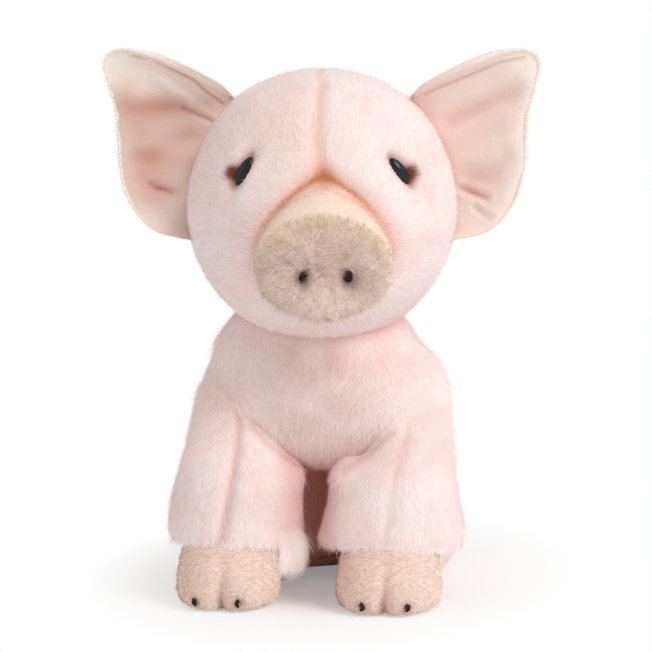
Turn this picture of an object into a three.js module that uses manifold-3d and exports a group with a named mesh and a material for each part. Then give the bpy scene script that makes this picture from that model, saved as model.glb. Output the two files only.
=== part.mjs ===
// A sitting plush piglet, in the pieces that its sewer would take it apart into: long-pile
// skins over fibre stuffing, a pellet bag in the seat, a short-pile snout, hooves and ear
// linings, eyes on washers, and thread at the nostrils, toes, neck and closing slit.
// Millimetres, +Z up. The pig faces -Y, and the origin is the middle of its flat seat.

import * as THREE from "three";
import { mergeVertices } from "three/addons/utils/BufferGeometryUtils.js";
import Module from "manifold-3d";

const wasm = await Module();
wasm.setup();

const round = 2 * Math.PI;
const degree = Math.PI / 180;

// Cloth, thread and clearances
const skinThickness = 4; // long pile with its backing
const shortPileThickness = 2.5;
const threadRadius = 0.9;
const seamGap = 0.3; // between two sewn or stuffed faces
const neckGap = 0.6; // the head slides on its seat
const overrun = 5; // how far a cutter passes the face it opens
const mergeDistance = 0.0001;

// Counts of sides and rows
const outerSides = 24;
const innerSides = 12;
const ballRows = 16;
const innerBallRows = 9;
const threadSides = 5;
const ringSteps = 24;
const stitchSides = 8;
const stitchRows = 5;

// Torso: level oval sections, in shares of its height, half sizes and lean
const torsoHeight = 102;
const torsoHalfWidth = 40;
const torsoHalfDepth = 43;
const torsoLean = 27.5; // how far the neck stands in front of the rump
const torsoRump = 6; // how far the rump's middle lies behind the origin
const torsoShares = [
  // height, half width, half depth, lean
  [0, 0.675, 0.51, 0],
  [0.03, 0.79, 0.65, 0],
  [0.1, 0.875, 0.765, 0],
  [0.22, 0.95, 0.835, 0],
  [0.34, 0.99, 0.915, 0.09],
  [0.44, 1, 0.995, 0.29],
  [0.52, 0.995, 1, 0.41],
  [0.6, 0.965, 0.955, 0.52],
  [0.68, 0.92, 0.875, 0.61],
  [0.75, 0.84, 0.775, 0.68],
  [0.82, 0.75, 0.665, 0.74],
  [0.88, 0.63, 0.545, 0.8],
  [0.94, 0.45, 0.37, 0.88],
  [1, 0.15, 0.105, 1],
];
const pelletBagHeight = 24;
const closingRows = [5, 10]; // rows of the table that the closing slit runs between

// Head: a ball on the neck, swelling towards the snout
const headRadius = 41.5;
const headSink = 21; // how far its underside lies below the torso's top
const headHeight = torsoHeight - headSink + headRadius; // its centre above the seat
const headForward = 26; // its centre in front of the origin
const headTurnAngle = 8 * degree;
const muzzleSwell = 3;
const muzzleSpreadAngle = 32 * degree;
const neckRadius = 20; // of the ring of stitches that joins head and torso
const neckTiltAngle = 12 * degree; // its axis leans back, towards the rump

// Snout: an oval band and a domed disc, on an axis that droops
const snoutDroopAngle = 20 * degree;
const snoutRise = 4.4; // how far above the head's centre its axis passes
const snoutHalfWidth = 22;
const snoutHalfHeight = 17.5;
const snoutFlare = 4; // how much wider the band is at the head
const snoutStand = 6.5; // from the head's radius out to the seam between band and disc
const snoutReach = headRadius + snoutStand;
const snoutSeamShare = 0.96; // of the disc's width, where it meets the band
const snoutRim = 2; // how high the disc's edge stands
const snoutDome = 4.5;
const nostrilSpacing = 13.5;
const nostrilDrop = 3.5;
const nostrilHalfWidth = 1.5;
const nostrilHalfHeight = 2.4;
const nostrilHalfDepth = 1.8;

// Eyes: a dome and shank through the skin, held by a washer inside
const eyeRadius = 4.2;
const eyeDome = 3;
const eyeSink = 2; // how far the dome's back lies under the pile's tips
const eyeShankRadius = 1.5;
const eyeShankLength = 7;
const eyeWasherRadius = 5.5;
const eyeWasherThickness = 1.2;
const eyeAroundAngle = 40 * degree; // from straight ahead
const eyeAboveAngle = 22 * degree;

// Ears: leaves that stand out sideways from the head
const earReach = 43;
const earThickness = 5;
const earRim = 1.2; // thickness at the edge
const earRootGap = 0.8; // its root pivots beside the head
const earBack = 3; // root behind the head's centre
const earCup = 7; // how far the upper and lower edges come forward
const earLean = 5; // how far the tip comes forward
const earLowAngle = -18.5 * degree;
const earHighAngle = 51.5 * degree;
const earShares = [
  // way up the root, reach
  [0, 0.09],
  [0.073, 0.28],
  [0.171, 0.44],
  [0.288, 0.547],
  [0.407, 0.607],
  [0.545, 0.677],
  [0.631, 0.79],
  [0.703, 0.93],
  [0.752, 1],
  [0.805, 0.951],
  [0.871, 0.772],
  [0.933, 0.5],
  [1, 0.06],
];
const earSteps = 3;
const earRows = 12;
const liningInsetShare = 0.13;
const liningSeamShare = 0.025; // between the lining's edge and the back's rim

// Front legs: flared sleeves from the shoulder to a hem above the hoof
const frontLegSpacing = 47; // between the middles of the hems
const frontLegForward = 48; // the hem's middle in front of the origin
const frontLegHalfWidth = 21.4;
const frontLegHalfDepth = 18.8;
const hemHeight = 21;
const shoulderHeight = 71;
const frontLegLean = 13; // how far the shoulder stands behind the hem
const frontLegSplay = 9.5; // and outside it
const frontLegShares = [
  // height, half width, half depth, lean
  [0, 0.96, 0.96, 0],
  [0.07, 1, 1, 0],
  [0.24, 0.985, 0.975, 0.04],
  [0.4, 0.935, 0.905, 0.08],
  [0.54, 0.8, 0.77, 0.2],
  [0.68, 0.64, 0.64, 0.44],
  [0.81, 0.47, 0.5, 0.7],
  [0.92, 0.31, 0.34, 0.88],
  [1, 0.11, 0.12, 1],
];

// Hooves: cloven pads of short pile
const frontHoofHalfWidth = 15.8;
const frontHoofHalfLength = 18;
const frontHoofHeight = 26;
const frontHoofForward = 53.5;
const frontHoofSpacing = 48.7;
const hindHoofHalfWidth = 13;
const hindHoofHalfLength = 14.5;
const hindHoofHeight = 17;
const hindHoofForward = 17;
const hindHoofSpacing = 58;
const hoofShares = [
  // height, half width, half length, lean
  [0, 0.66, 0.62, 0],
  [0.06, 0.83, 0.8, 0],
  [0.2, 0.97, 0.96, 0],
  [0.45, 1, 1, 0.03],
  [0.7, 0.93, 0.86, 0.12],
  [0.84, 0.8, 0.7, 0.2],
  [0.95, 0.56, 0.5, 0.26],
  [1, 0.22, 0.2, 0.28],
];
const hoofCleftShare = 0.16; // of the half length, at the sole
const hoofCleftAngle = 13 * degree;
const toeStitchHalfWidth = 1;
const toeStitchHalfHeight = 1.5;
const toeStitchAngle = 26 * degree; // from the cleft
const toeStitchRow = 2; // the row of the hoof's table that it lies on

// Hind legs: haunches sewn to the torso's sides
const haunchSpacing = 60;
const haunchBack = 8;
const haunchHalfWidth = 15.5;
const haunchHalfDepth = 25;
const haunchHeight = 46;
const haunchLean = 5;
const haunchShares = [
  // height, half width, half depth, lean
  [0, 0.55, 0.6, 0],
  [0.05, 0.76, 0.8, 0],
  [0.18, 0.94, 0.95, 0],
  [0.4, 1, 1, 0],
  [0.62, 0.95, 0.92, -0.2],
  [0.8, 0.76, 0.72, -0.5],
  [0.93, 0.45, 0.44, -0.85],
  [1, 0.15, 0.15, -1],
];

// Tail: a tapered curl on a round root
const tailRadius = 3.6;
const tailTipRadius = 2;
const tailHeight = 34;
const tailCurlRadius = 6;
const tailCurlLength = 12; // from the root to the tip, straight back
const tailCurlAngle = 378 * degree;
const tailSteps = 18;
const tailSides = 8;

// Materials
const finishes = {
  longPile: { color: "#f6dcd8", roughness: 0.95 },
  shortPile: { color: "#ecc9b8", roughness: 0.95 },
  liningPile: { color: "#efc2b6", roughness: 0.95 },
  darkThread: { color: "#3a211a", roughness: 0.7 },
  pinkThread: { color: "#e9b9ac", roughness: 0.7 },
  eyePlastic: { color: "#16100e", roughness: 0.08 },
  washerPlastic: { color: "#e8e6e0", roughness: 0.5 },
  fibre: { color: "#fbfaf6", roughness: 1 },
  pelletCloth: { color: "#f1eee6", roughness: 0.9 },
};
const materials = Object.fromEntries(
  Object.entries(finishes).map(([name, finish]) => [
    name,
    new THREE.MeshStandardMaterial({ metalness: 0, ...finish }),
  ]),
);

// Solids

function solidOf(geometry) {
  const bare = new THREE.BufferGeometry();
  bare.setAttribute("position", geometry.getAttribute("position"));
  bare.setIndex(geometry.index);
  const merged = mergeVertices(bare, mergeDistance);
  return new wasm.Manifold(
    new wasm.Mesh({
      numProp: 3,
      vertProperties: new Float32Array(merged.attributes.position.array),
      triVerts: new Uint32Array(merged.index.array),
    }),
  );
}

function geometryOf(solid) {
  const { numProp, vertProperties, triVerts } = solid.getMesh();
  const corners = new Float32Array((vertProperties.length / numProp) * 3);
  for (let i = 0; i * numProp < vertProperties.length; i++) {
    corners.set(vertProperties.subarray(i * numProp, i * numProp + 3), i * 3);
  }
  const geometry = new THREE.BufferGeometry();
  geometry.setAttribute("position", new THREE.BufferAttribute(corners, 3));
  geometry.setIndex(new THREE.BufferAttribute(new Uint32Array(triVerts), 1));
  return geometry;
}

function cut(geometry, ...tools) {
  const left = tools.reduce((solid, tool) => solid.subtract(solidOf(tool)), solidOf(geometry));
  return geometryOf(left);
}

function common(geometry, tool) {
  return geometryOf(solidOf(geometry).intersect(solidOf(tool)));
}

// A closed skin over rings of points, each ring counter-clockwise as seen from the last one.
function loft(rings) {
  const sides = rings[0].length;
  const middle = (ring) =>
    ring.reduce((sum, point) => sum.add(point), new THREE.Vector3()).divideScalar(sides);
  const points = [...rings.flat(), middle(rings[0]), middle(rings[rings.length - 1])];
  const first = rings.length * sides;
  const index = [];
  for (let side = 0; side < sides; side++) {
    const next = (side + 1) % sides;
    index.push(first, next, side);
    for (let ring = 0; ring + 1 < rings.length; ring++) {
      const low = ring * sides;
      const high = low + sides;
      index.push(low + side, low + next, high + next, low + side, high + next, high + side);
    }
    index.push(first + 1, first - sides + side, first - sides + next);
  }
  return new THREE.BufferGeometry().setFromPoints(points).setIndex(index);
}

function steps(count) {
  return Array.from({ length: count }, (_, i) => i);
}

// The middle and half sizes of one row of a stuffed form. grow swells it at its widest row,
// and elsewhere in proportion.
function section(form, row, grow = 0) {
  const [up, wide, deep, lean] = row;
  return {
    x: form.x + (form.splay ?? 0) * lean,
    y: form.y + form.lean * lean,
    z: THREE.MathUtils.lerp(form.foot - grow, form.foot + form.height + grow, up),
    halfWidth: (form.halfWidth + grow) * wide,
    halfDepth: (form.halfDepth + grow) * deep,
  };
}

function stuffed(form, grow = 0, sides = outerSides) {
  const rings = form.shares.map((row) => {
    const { x, y, z, halfWidth, halfDepth } = section(form, row, grow);
    return steps(sides).map((side) => {
      const around = (side / sides) * round;
      const dent = form.dent ? form.dent(around, row[0]) : 1;
      return new THREE.Vector3(
        x + Math.cos(around) * halfWidth * dent,
        y + Math.sin(around) * halfDepth * dent,
        z,
      );
    });
  });
  return loft(rings);
}

// A turned solid about +Z from its outline of radius and height, on the axis at both ends.
function turned(outline, sides) {
  const points = outline.map(([radius, height]) => new THREE.Vector2(radius, height));
  return new THREE.LatheGeometry(points, sides).rotateX(90 * degree);
}

function rod(radius, low, high, sides = innerSides) {
  return new THREE.CylinderGeometry(radius, radius, high - low, sides)
    .rotateX(90 * degree)
    .translate(0, 0, (low + high) / 2);
}

function ellipsoid(halfX, halfY, halfZ) {
  return new THREE.SphereGeometry(1, stitchSides, stitchRows).scale(halfX, halfY, halfZ);
}

function thread(path, count, radius = threadRadius) {
  const corners = steps(threadSides).map((side) => {
    const around = (side / threadSides) * round;
    return new THREE.Vector2(Math.cos(around), Math.sin(around)).multiplyScalar(radius);
  });
  const options = { extrudePath: path, steps: count, bevelEnabled: false };
  return new THREE.ExtrudeGeometry(new THREE.Shape(corners), options);
}

function placed(frame, geometry) {
  frame.updateMatrix();
  return geometry.clone().applyMatrix4(frame.matrix);
}

function addTo(parent, name, geometry, material) {
  const mesh = new THREE.Mesh(geometry, material);
  mesh.name = name;
  parent.add(mesh);
  return mesh;
}

// The whole pig, and the frames that its head and snout are built in

const pig = new THREE.Group();
const sideNames = { left: 1, right: -1 }; // the pig's own left is at +X

const neck = new THREE.Group(); // its -Z points from the head's centre down the neck
neck.position.set(0, -headForward, headHeight);
neck.rotation.x = neckTiltAngle;
pig.add(neck);

const head = new THREE.Group();
head.position.set(0, -headForward, headHeight);
head.rotation.z = headTurnAngle;
pig.add(head);

const snout = new THREE.Group(); // its +Z points out of the face
snout.position.z = snoutRise;
snout.rotation.x = 90 * degree + snoutDroopAngle;
head.add(snout);

function headBall(grow = 0, sides = outerSides, rows = ballRows) {
  const ball = new THREE.SphereGeometry(1, sides, rows).rotateX(90 * degree);
  const axis = new THREE.Vector3(0, -Math.cos(snoutDroopAngle), -Math.sin(snoutDroopAngle));
  const place = ball.getAttribute("position");
  const point = new THREE.Vector3();
  for (let i = 0; i < place.count; i++) {
    point.fromBufferAttribute(place, i).normalize();
    const off = point.angleTo(axis) / muzzleSpreadAngle;
    point.multiplyScalar(headRadius + grow + muzzleSwell * Math.exp(-off * off));
    place.setXYZ(i, point.x, point.y, point.z);
  }
  return ball;
}

const torsoForm = {
  x: 0,
  y: torsoRump,
  foot: 0,
  height: torsoHeight,
  halfWidth: torsoHalfWidth,
  halfDepth: torsoHalfDepth,
  lean: -torsoLean,
  shares: torsoShares,
};
const torsoRoom = stuffed(torsoForm, seamGap);

// The ring of stitches round the neck, just under the head
function neckRing(radius) {
  const distance = headRadius + neckGap + threadRadius;
  const below = Math.sqrt(distance ** 2 - neckRadius ** 2);
  const ring = new THREE.TorusGeometry(neckRadius, radius, threadSides, ringSteps);
  return ring.translate(0, 0, -below);
}

function closingThread(radius) {
  const rows = torsoShares.slice(...closingRows);
  const back = rows.map((row) => {
    const { x, y, z, halfDepth } = section(torsoForm, row);
    return new THREE.Vector3(x, y + halfDepth, z);
  });
  return thread(new THREE.CatmullRomCurve3(back), ringSteps / 2, radius);
}

function addTorso() {
  const seat = (grow) => placed(head, headBall(neckGap + grow));
  const neckHole = rod(neckRadius - 2 * threadRadius, -headRadius - 3 * skinThickness, 0);
  const hollow = cut(stuffed(torsoForm, -skinThickness, innerSides), seat(skinThickness));
  const skin = cut(
    stuffed(torsoForm),
    hollow,
    seat(0),
    placed(neck, neckHole),
    placed(neck, neckRing(threadRadius + seamGap)),
    closingThread(threadRadius + seamGap),
  );
  addTo(pig, "torso_skin", skin, materials.longPile);
  addTo(neck, "neck_seam", neckRing(threadRadius), materials.pinkThread);
  addTo(pig, "closing_seam", closingThread(threadRadius), materials.pinkThread);

  const filling = cut(
    stuffed(torsoForm, -skinThickness - seamGap, innerSides),
    seat(skinThickness + seamGap),
  );
  const span = torsoHeight + overrun;
  const block = (low, high) =>
    new THREE.BoxGeometry(2 * span, 2 * span, high - low).translate(0, 0, (low + high) / 2);
  const stuffing = common(filling, block(pelletBagHeight + seamGap, span));
  addTo(pig, "torso_stuffing", stuffing, materials.fibre);
  const bag = common(filling, block(0, pelletBagHeight));
  addTo(pig, "pellet_bag", bag, materials.pelletCloth);
}

// An eye's frame on the head: its +Z points out, and its origin is the dome's back.
function eyeFrame(side) {
  const out = new THREE.Vector3(
    side * Math.cos(eyeAboveAngle) * Math.sin(eyeAroundAngle),
    -Math.cos(eyeAboveAngle) * Math.cos(eyeAroundAngle),
    Math.sin(eyeAboveAngle),
  );
  const frame = new THREE.Group();
  frame.position.copy(out).multiplyScalar(headRadius - eyeSink);
  frame.quaternion.setFromUnitVectors(new THREE.Vector3(0, 0, 1), out);
  return frame;
}

function eyeDomeAndShank() {
  const dome = [0, 30, 60].map((up) => [
    eyeRadius * Math.cos(up * degree),
    eyeDome * Math.sin(up * degree),
  ]);
  const shank = [
    [0, -eyeShankLength],
    [eyeShankRadius, -eyeShankLength],
    [eyeShankRadius, 0],
  ];
  return turned([...shank, ...dome, [0, eyeDome]], innerSides);
}

function addHead() {
  const frames = Object.values(sideNames).map(eyeFrame);
  const washerTop = eyeSink - skinThickness;
  const washerLow = washerTop - eyeWasherThickness;
  const hole = (radius, low, high) => frames.map((frame) => placed(frame, rod(radius, low, high)));
  const eyePockets = hole(eyeRadius + seamGap, -seamGap, headRadius);
  const shankHoles = hole(eyeShankRadius + seamGap, -eyeShankLength - seamGap, 0);
  const washerRooms = hole(eyeWasherRadius + seamGap, washerLow - seamGap, washerTop + seamGap);
  const neckHole = rod(neckRadius - 2 * threadRadius, -headRadius - overrun, -headRadius / 2);
  neckHole.rotateX(neckTiltAngle).rotateZ(-headTurnAngle);
  const hollow = headBall(-skinThickness, innerSides, innerBallRows);
  const skin = cut(headBall(), hollow, neckHole, ...eyePockets, ...shankHoles, ...washerRooms);
  addTo(head, "head_skin", skin, materials.longPile);
  const filling = headBall(-skinThickness - seamGap, innerSides, innerBallRows);
  addTo(head, "head_stuffing", cut(filling, ...shankHoles, ...washerRooms), materials.fibre);

  for (const [name, side] of Object.entries(sideNames)) {
    const frame = eyeFrame(side);
    head.add(frame);
    addTo(frame, `eye_${name}`, eyeDomeAndShank(), materials.eyePlastic);
    const bore = rod(eyeShankRadius + seamGap, washerLow - overrun, washerTop + overrun);
    const washer = cut(rod(eyeWasherRadius, washerLow, washerTop), bore);
    addTo(frame, `eye_washer_${name}`, washer, materials.washerPlastic);
  }
}

// An oval form about the snout's axis, from rows of width share, distance and flare.
function snoutForm(rows, grow = 0, sides = outerSides) {
  return loft(
    rows.map(([share, distance, flare]) =>
      steps(sides).map((side) => {
        const around = (side / sides) * round;
        return new THREE.Vector3(
          Math.cos(around) * ((snoutHalfWidth + flare) * share + grow),
          Math.sin(around) * ((snoutHalfHeight + flare) * share + grow),
          distance,
        );
      }),
    ),
  );
}

function addSnout() {
  snout.updateMatrix();
  const toSnout = snout.matrix.clone().invert();
  const face = headBall(seamGap).applyMatrix4(toSnout);
  const band = (low, high, grow, sides) =>
    snoutForm(
      [
        [1, low, snoutFlare],
        [1, high, 0],
      ],
      grow,
      sides,
    );
  const root = headRadius / 2;
  const seam = snoutReach - seamGap;
  const wall = shortPileThickness;
  const bore = band(root - overrun, snoutReach + overrun, -wall, innerSides);
  addTo(snout, "snout_band", cut(band(root, seam, 0), bore, face), materials.shortPile);
  const filling = cut(band(root, seam, -wall - seamGap, innerSides), face);
  addTo(snout, "snout_stuffing", filling, materials.fibre);

  const rim = snoutReach + snoutRim;
  const dome = [0, 25, 50, 72, 85].map((up) => [
    Math.cos(up * degree),
    rim + snoutDome * Math.sin(up * degree),
    0,
  ]);
  const nostrils = Object.entries(sideNames).map(([name, side]) => ({
    name,
    at: [(side * nostrilSpacing) / 2, -nostrilDrop, rim + snoutDome],
  }));
  const nostril = (at, grow) =>
    ellipsoid(
      nostrilHalfWidth + grow,
      nostrilHalfHeight + grow,
      nostrilHalfDepth + grow,
    ).translate(...at);
  const holes = nostrils.map(({ at }) => nostril(at, seamGap));
  const disc = cut(snoutForm([[snoutSeamShare, snoutReach, 0], ...dome]), ...holes);
  addTo(snout, "snout_disc", disc, materials.shortPile);
  for (const { name, at } of nostrils) {
    addTo(snout, `nostril_${name}`, nostril(at, 0), materials.darkThread);
  }
}

// A sheet between a front and a back surface, sampled at lists of shares, closed at its edge.
function sheet(front, back, outs, ups) {
  const points = [front, back].flatMap((surface) =>
    ups.flatMap((up) => outs.map((out) => surface(out, up))),
  );
  const row = outs.length;
  const far = row * ups.length;
  const index = [];
  for (const j of steps(ups.length - 1)) {
    for (const i of steps(row - 1)) {
      const a = j * row + i;
      const b = far + a;
      index.push(a, a + 1, a + row + 1, a, a + row + 1, a + row);
      index.push(b, b + row + 1, b + 1, b, b + row, b + row + 1);
    }
  }
  const wall = (a, b) => index.push(a, b + far, b, a, a + far, b + far);
  for (const i of steps(row - 1)) {
    wall(i, i + 1);
    wall(far - 1 - i, far - 2 - i);
  }
  for (const j of steps(ups.length - 1)) {
    wall((j + 1) * row, j * row);
    wall(j * row + row - 1, (j + 2) * row - 1);
  }
  return new THREE.BufferGeometry().setFromPoints(points).setIndex(index);
}

const earEdge = new THREE.SplineCurve(
  earShares.map(([up, reach]) => new THREE.Vector2(up, reach)),
);

// A point of an ear about the head's centre. out runs from the root to the free edge and up
// from the root's low end to its high end. back is how far it lies behind the middle surface.
function earPoint(side, out, up, back) {
  const { x: upShare, y: reachShare } = earEdge.getPoint(up);
  const around = THREE.MathUtils.lerp(earLowAngle, earHighAngle, upShare);
  const root = Math.sqrt((headRadius + earRootGap) ** 2 - earBack ** 2);
  const away = root + out * earReach * reachShare;
  const across = 2 * upShare - 1;
  const forward = out * (earLean * out + earCup * across * across);
  return new THREE.Vector3(
    side * away * Math.cos(around),
    earBack - forward + back,
    away * Math.sin(around),
  );
}

// The back's front face has a recess with a sloping edge, and the lining lies in it.
function addEars() {
  const inside = (count) =>
    steps(count + 1).map((i) => THREE.MathUtils.lerp(liningInsetShare, 1 - liningInsetShare, i / count));
  const rim = liningInsetShare - liningSeamShare;
  const whole = (count) => [0, rim, ...inside(count), 1 - rim, 1];
  const isInside = (share) => Math.abs(share - 0.5) < 0.5 - rim - liningSeamShare / 2;
  const full = (share) => Math.sqrt(1 - (2 * share - 1) ** 4);
  const half = (out, up) => (earRim + (earThickness - earRim) * full(out) * full(up)) / 2;
  for (const [name, side] of Object.entries(sideNames)) {
    const at = (out, up, back) => earPoint(side, out, side > 0 ? up : 1 - up, back);
    const face = (out, up) => at(out, up, -half(out, up));
    const recessed = (out, up) =>
      isInside(out) && isInside(up) ? at(out, up, seamGap / 2) : face(out, up);
    const rear = (out, up) => at(out, up, half(out, up));
    const back = sheet(recessed, rear, whole(earSteps), whole(earRows));
    addTo(head, `ear_back_${name}`, back, materials.longPile);
    const floor = (out, up) => at(out, up, -seamGap / 2);
    const lining = sheet(face, floor, inside(earSteps), inside(earRows));
    addTo(head, `ear_lining_${name}`, lining, materials.liningPile);
  }
}

function hoofForm(halfWidth, halfLength, height, x, forward) {
  return {
    x,
    y: -forward,
    foot: 0,
    height,
    halfWidth,
    halfDepth: halfLength,
    lean: halfLength,
    shares: hoofShares,
    dent: (around, up) => {
      const off = Math.abs(around - 270 * degree) / hoofCleftAngle;
      return 1 - hoofCleftShare * (1 - up) * Math.exp(-off * off);
    },
  };
}

// A stitch on a hoof's front, beside the cleft. way is 1 to the pig's left, -1 to its right.
function toeStitch(form, way, grow) {
  const { x, y, z, halfWidth, halfDepth } = section(form, hoofShares[toeStitchRow]);
  const around = 270 * degree + way * toeStitchAngle;
  const width = toeStitchHalfWidth + grow;
  const middle = [x + halfWidth * Math.cos(around), y + halfDepth * Math.sin(around), z];
  return ellipsoid(width, width, toeStitchHalfHeight + grow).translate(...middle);
}

function addHoof(form, limb, name, side, ...neighbours) {
  const ways = { inner: -side, outer: side };
  const rooms = Object.values(ways).map((way) => toeStitch(form, way, seamGap));
  const hoof = cut(stuffed(form), ...neighbours, ...rooms);
  addTo(pig, `${limb}_hoof_${name}`, hoof, materials.shortPile);
  for (const [label, way] of Object.entries(ways)) {
    addTo(pig, `${limb}_toe_${label}_${name}`, toeStitch(form, way, 0), materials.darkThread);
  }
}

// A limb's skin is open where it is sewn to the torso, and its filling ends there.
function addLimb(limb, name, form, ...neighbours) {
  const hollow = stuffed(form, -skinThickness, innerSides);
  const skin = cut(stuffed(form), hollow, ...neighbours, torsoRoom);
  addTo(pig, `${limb}_leg_${name}`, skin, materials.longPile);
  const filling = stuffed(form, -skinThickness - seamGap, innerSides);
  const stuffing = cut(filling, ...neighbours, torsoRoom);
  addTo(pig, `${limb}_leg_stuffing_${name}`, stuffing, materials.fibre);
}

function addFrontLeg(name, side) {
  const hoof = hoofForm(
    frontHoofHalfWidth,
    frontHoofHalfLength,
    frontHoofHeight,
    (side * frontHoofSpacing) / 2,
    frontHoofForward,
  );
  const leg = {
    x: (side * frontLegSpacing) / 2,
    y: -frontLegForward,
    foot: hemHeight,
    height: shoulderHeight - hemHeight,
    halfWidth: frontLegHalfWidth,
    halfDepth: frontLegHalfDepth,
    lean: frontLegLean,
    splay: side * frontLegSplay,
    shares: frontLegShares,
  };
  addLimb("front", name, leg, stuffed(hoof, seamGap));
  addHoof(hoof, "front", name, side);
}

function addHindLeg(name, side) {
  const hoof = hoofForm(
    hindHoofHalfWidth,
    hindHoofHalfLength,
    hindHoofHeight,
    (side * hindHoofSpacing) / 2,
    hindHoofForward,
  );
  const leg = {
    x: (side * haunchSpacing) / 2,
    y: haunchBack,
    foot: 0,
    height: haunchHeight,
    halfWidth: haunchHalfWidth,
    halfDepth: haunchHalfDepth,
    lean: haunchLean,
    shares: haunchShares,
  };
  addLimb("hind", name, leg);
  addHoof(hoof, "hind", name, side, stuffed(leg, seamGap), torsoRoom);
}

// The tail's round root rests on the torso's back, and the curl grows out of the root.
function addTail() {
  const above = torsoShares.findIndex(([up]) => up * torsoHeight >= tailHeight);
  const low = section(torsoForm, torsoShares[above - 1]);
  const high = section(torsoForm, torsoShares[above]);
  const part = (tailHeight - low.z) / (high.z - low.z);
  const back = THREE.MathUtils.lerp(low.y + low.halfDepth, high.y + high.halfDepth, part);
  const slope = (high.y + high.halfDepth - low.y - low.halfDepth) / (high.z - low.z);
  const rootAway = (tailRadius + seamGap) * Math.hypot(1, slope);
  const root = new THREE.Vector3(0, back + rootAway, tailHeight);
  const middle = (part) => {
    const around = part * tailCurlAngle;
    const reach = tailCurlRadius * Math.min(1, 3 * part);
    return new THREE.Vector3(
      root.x + reach * Math.sin(around),
      root.y + part * tailCurlLength,
      root.z + tailCurlRadius * (1 - Math.cos(around)) * Math.min(1, 3 * part),
    );
  };
  const ring = (centre, along, radius) => {
    const turn = new THREE.Quaternion().setFromUnitVectors(new THREE.Vector3(0, 1, 0), along);
    return steps(tailSides).map((side) => {
      const around = (side / tailSides) * round;
      return new THREE.Vector3(Math.sin(around), 0, Math.cos(around))
        .multiplyScalar(radius)
        .applyQuaternion(turn)
        .add(centre);
    });
  };
  const straight = new THREE.Vector3(0, 1, 0);
  const cap = [80, 50, 25].map((off) => {
    const centre = root.clone().addScaledVector(straight, -tailRadius * Math.sin(off * degree));
    return ring(centre, straight, tailRadius * Math.cos(off * degree));
  });
  const curl = steps(tailSteps + 1).map((step) => {
    const part = step / tailSteps;
    const before = middle(Math.max(0, part - 1 / tailSteps));
    const along = middle(Math.min(1, part + 1 / tailSteps)).sub(before).normalize();
    return ring(middle(part), along, THREE.MathUtils.lerp(tailRadius, tailTipRadius, part));
  });
  addTo(pig, "tail", loft([...cap, ...curl]), materials.longPile);
}

addTorso();
addHead();
addSnout();
addEars();
for (const [name, side] of Object.entries(sideNames)) {
  addFrontLeg(name, side);
  addHindLeg(name, side);
}
addTail();

export default pig;
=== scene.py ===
"""A sitting plush piglet: soft pile over stuffed skins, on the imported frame.

Shapes are worked out in millimetres, in the frame's axes, and made in metres.
"""

import math

import bpy
import numpy as np
from mathutils import Matrix, Vector
from mathutils.bvhtree import BVHTree


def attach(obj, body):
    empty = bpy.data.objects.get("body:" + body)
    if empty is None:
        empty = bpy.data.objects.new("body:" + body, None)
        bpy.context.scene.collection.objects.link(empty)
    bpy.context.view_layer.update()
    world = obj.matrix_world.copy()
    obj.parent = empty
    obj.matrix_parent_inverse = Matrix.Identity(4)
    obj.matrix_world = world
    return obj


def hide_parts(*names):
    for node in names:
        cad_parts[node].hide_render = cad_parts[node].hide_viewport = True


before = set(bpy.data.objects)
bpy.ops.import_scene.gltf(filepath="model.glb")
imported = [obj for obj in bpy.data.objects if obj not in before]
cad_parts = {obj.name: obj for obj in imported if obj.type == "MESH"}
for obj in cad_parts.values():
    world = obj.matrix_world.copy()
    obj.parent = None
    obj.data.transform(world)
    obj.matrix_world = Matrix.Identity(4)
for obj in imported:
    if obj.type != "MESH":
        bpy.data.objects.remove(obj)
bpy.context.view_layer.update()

MM = 0.001
SIDES = {"left": 1, "right": -1}  # the pig's own left is at +X
rng = np.random.default_rng(11)
NOISE_ROWS = 4093
shuffled = rng.uniform(-1, 1, (NOISE_ROWS, 3))

# The camera, and where the photograph's pixels look

IMAGE_SIDE = 652
FOCAL_PIXELS = 3466.0
SENSOR = 36.0
CAMERA_AZIMUTH, CAMERA_ELEVATION = math.radians(8), math.radians(7)
CAMERA_DISTANCE = 1100.0
HEAD_CENTRE = np.array([0, -26, 122.5])
HEAD_PIXEL = 322, 208


def direction(around, above):
    """The way to a place seen from the middle: round from the front to the left, and up."""
    level = math.cos(above)
    return np.array([math.sin(around) * level, -math.cos(around) * level, math.sin(above)])


view_back = direction(CAMERA_AZIMUTH, CAMERA_ELEVATION)
view_right = np.array([math.cos(CAMERA_AZIMUTH), math.sin(CAMERA_AZIMUTH), 0])
view_up = np.cross(view_back, view_right)
pixel = CAMERA_DISTANCE / FOCAL_PIXELS
aim = (
    HEAD_CENTRE
    - view_right * (HEAD_PIXEL[0] - IMAGE_SIDE / 2) * pixel
    + view_up * (HEAD_PIXEL[1] - IMAGE_SIDE / 2) * pixel
)
eye_point = aim + view_back * CAMERA_DISTANCE


def make_camera():
    data = bpy.data.cameras.new("camera")
    data.sensor_width = SENSOR
    data.lens = SENSOR * FOCAL_PIXELS / IMAGE_SIDE
    data.clip_start, data.clip_end = 0.05, 20
    camera = bpy.data.objects.new("camera", data)
    bpy.context.scene.collection.objects.link(camera)
    turn = Matrix((view_right, view_up, view_back)).transposed()
    camera.matrix_world = Matrix.Translation(Vector(eye_point * MM)) @ turn.to_4x4()
    bpy.context.scene.camera = camera


def pixels_of(points):
    """Where points show in the photograph's frame."""
    away = points - eye_point
    depth = -away @ view_back
    across = IMAGE_SIDE / 2 + FOCAL_PIXELS * (away @ view_right) / depth
    down = IMAGE_SIDE / 2 - FOCAL_PIXELS * (away @ view_up) / depth
    return np.stack([across, down], 1)


# Small maths


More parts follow.
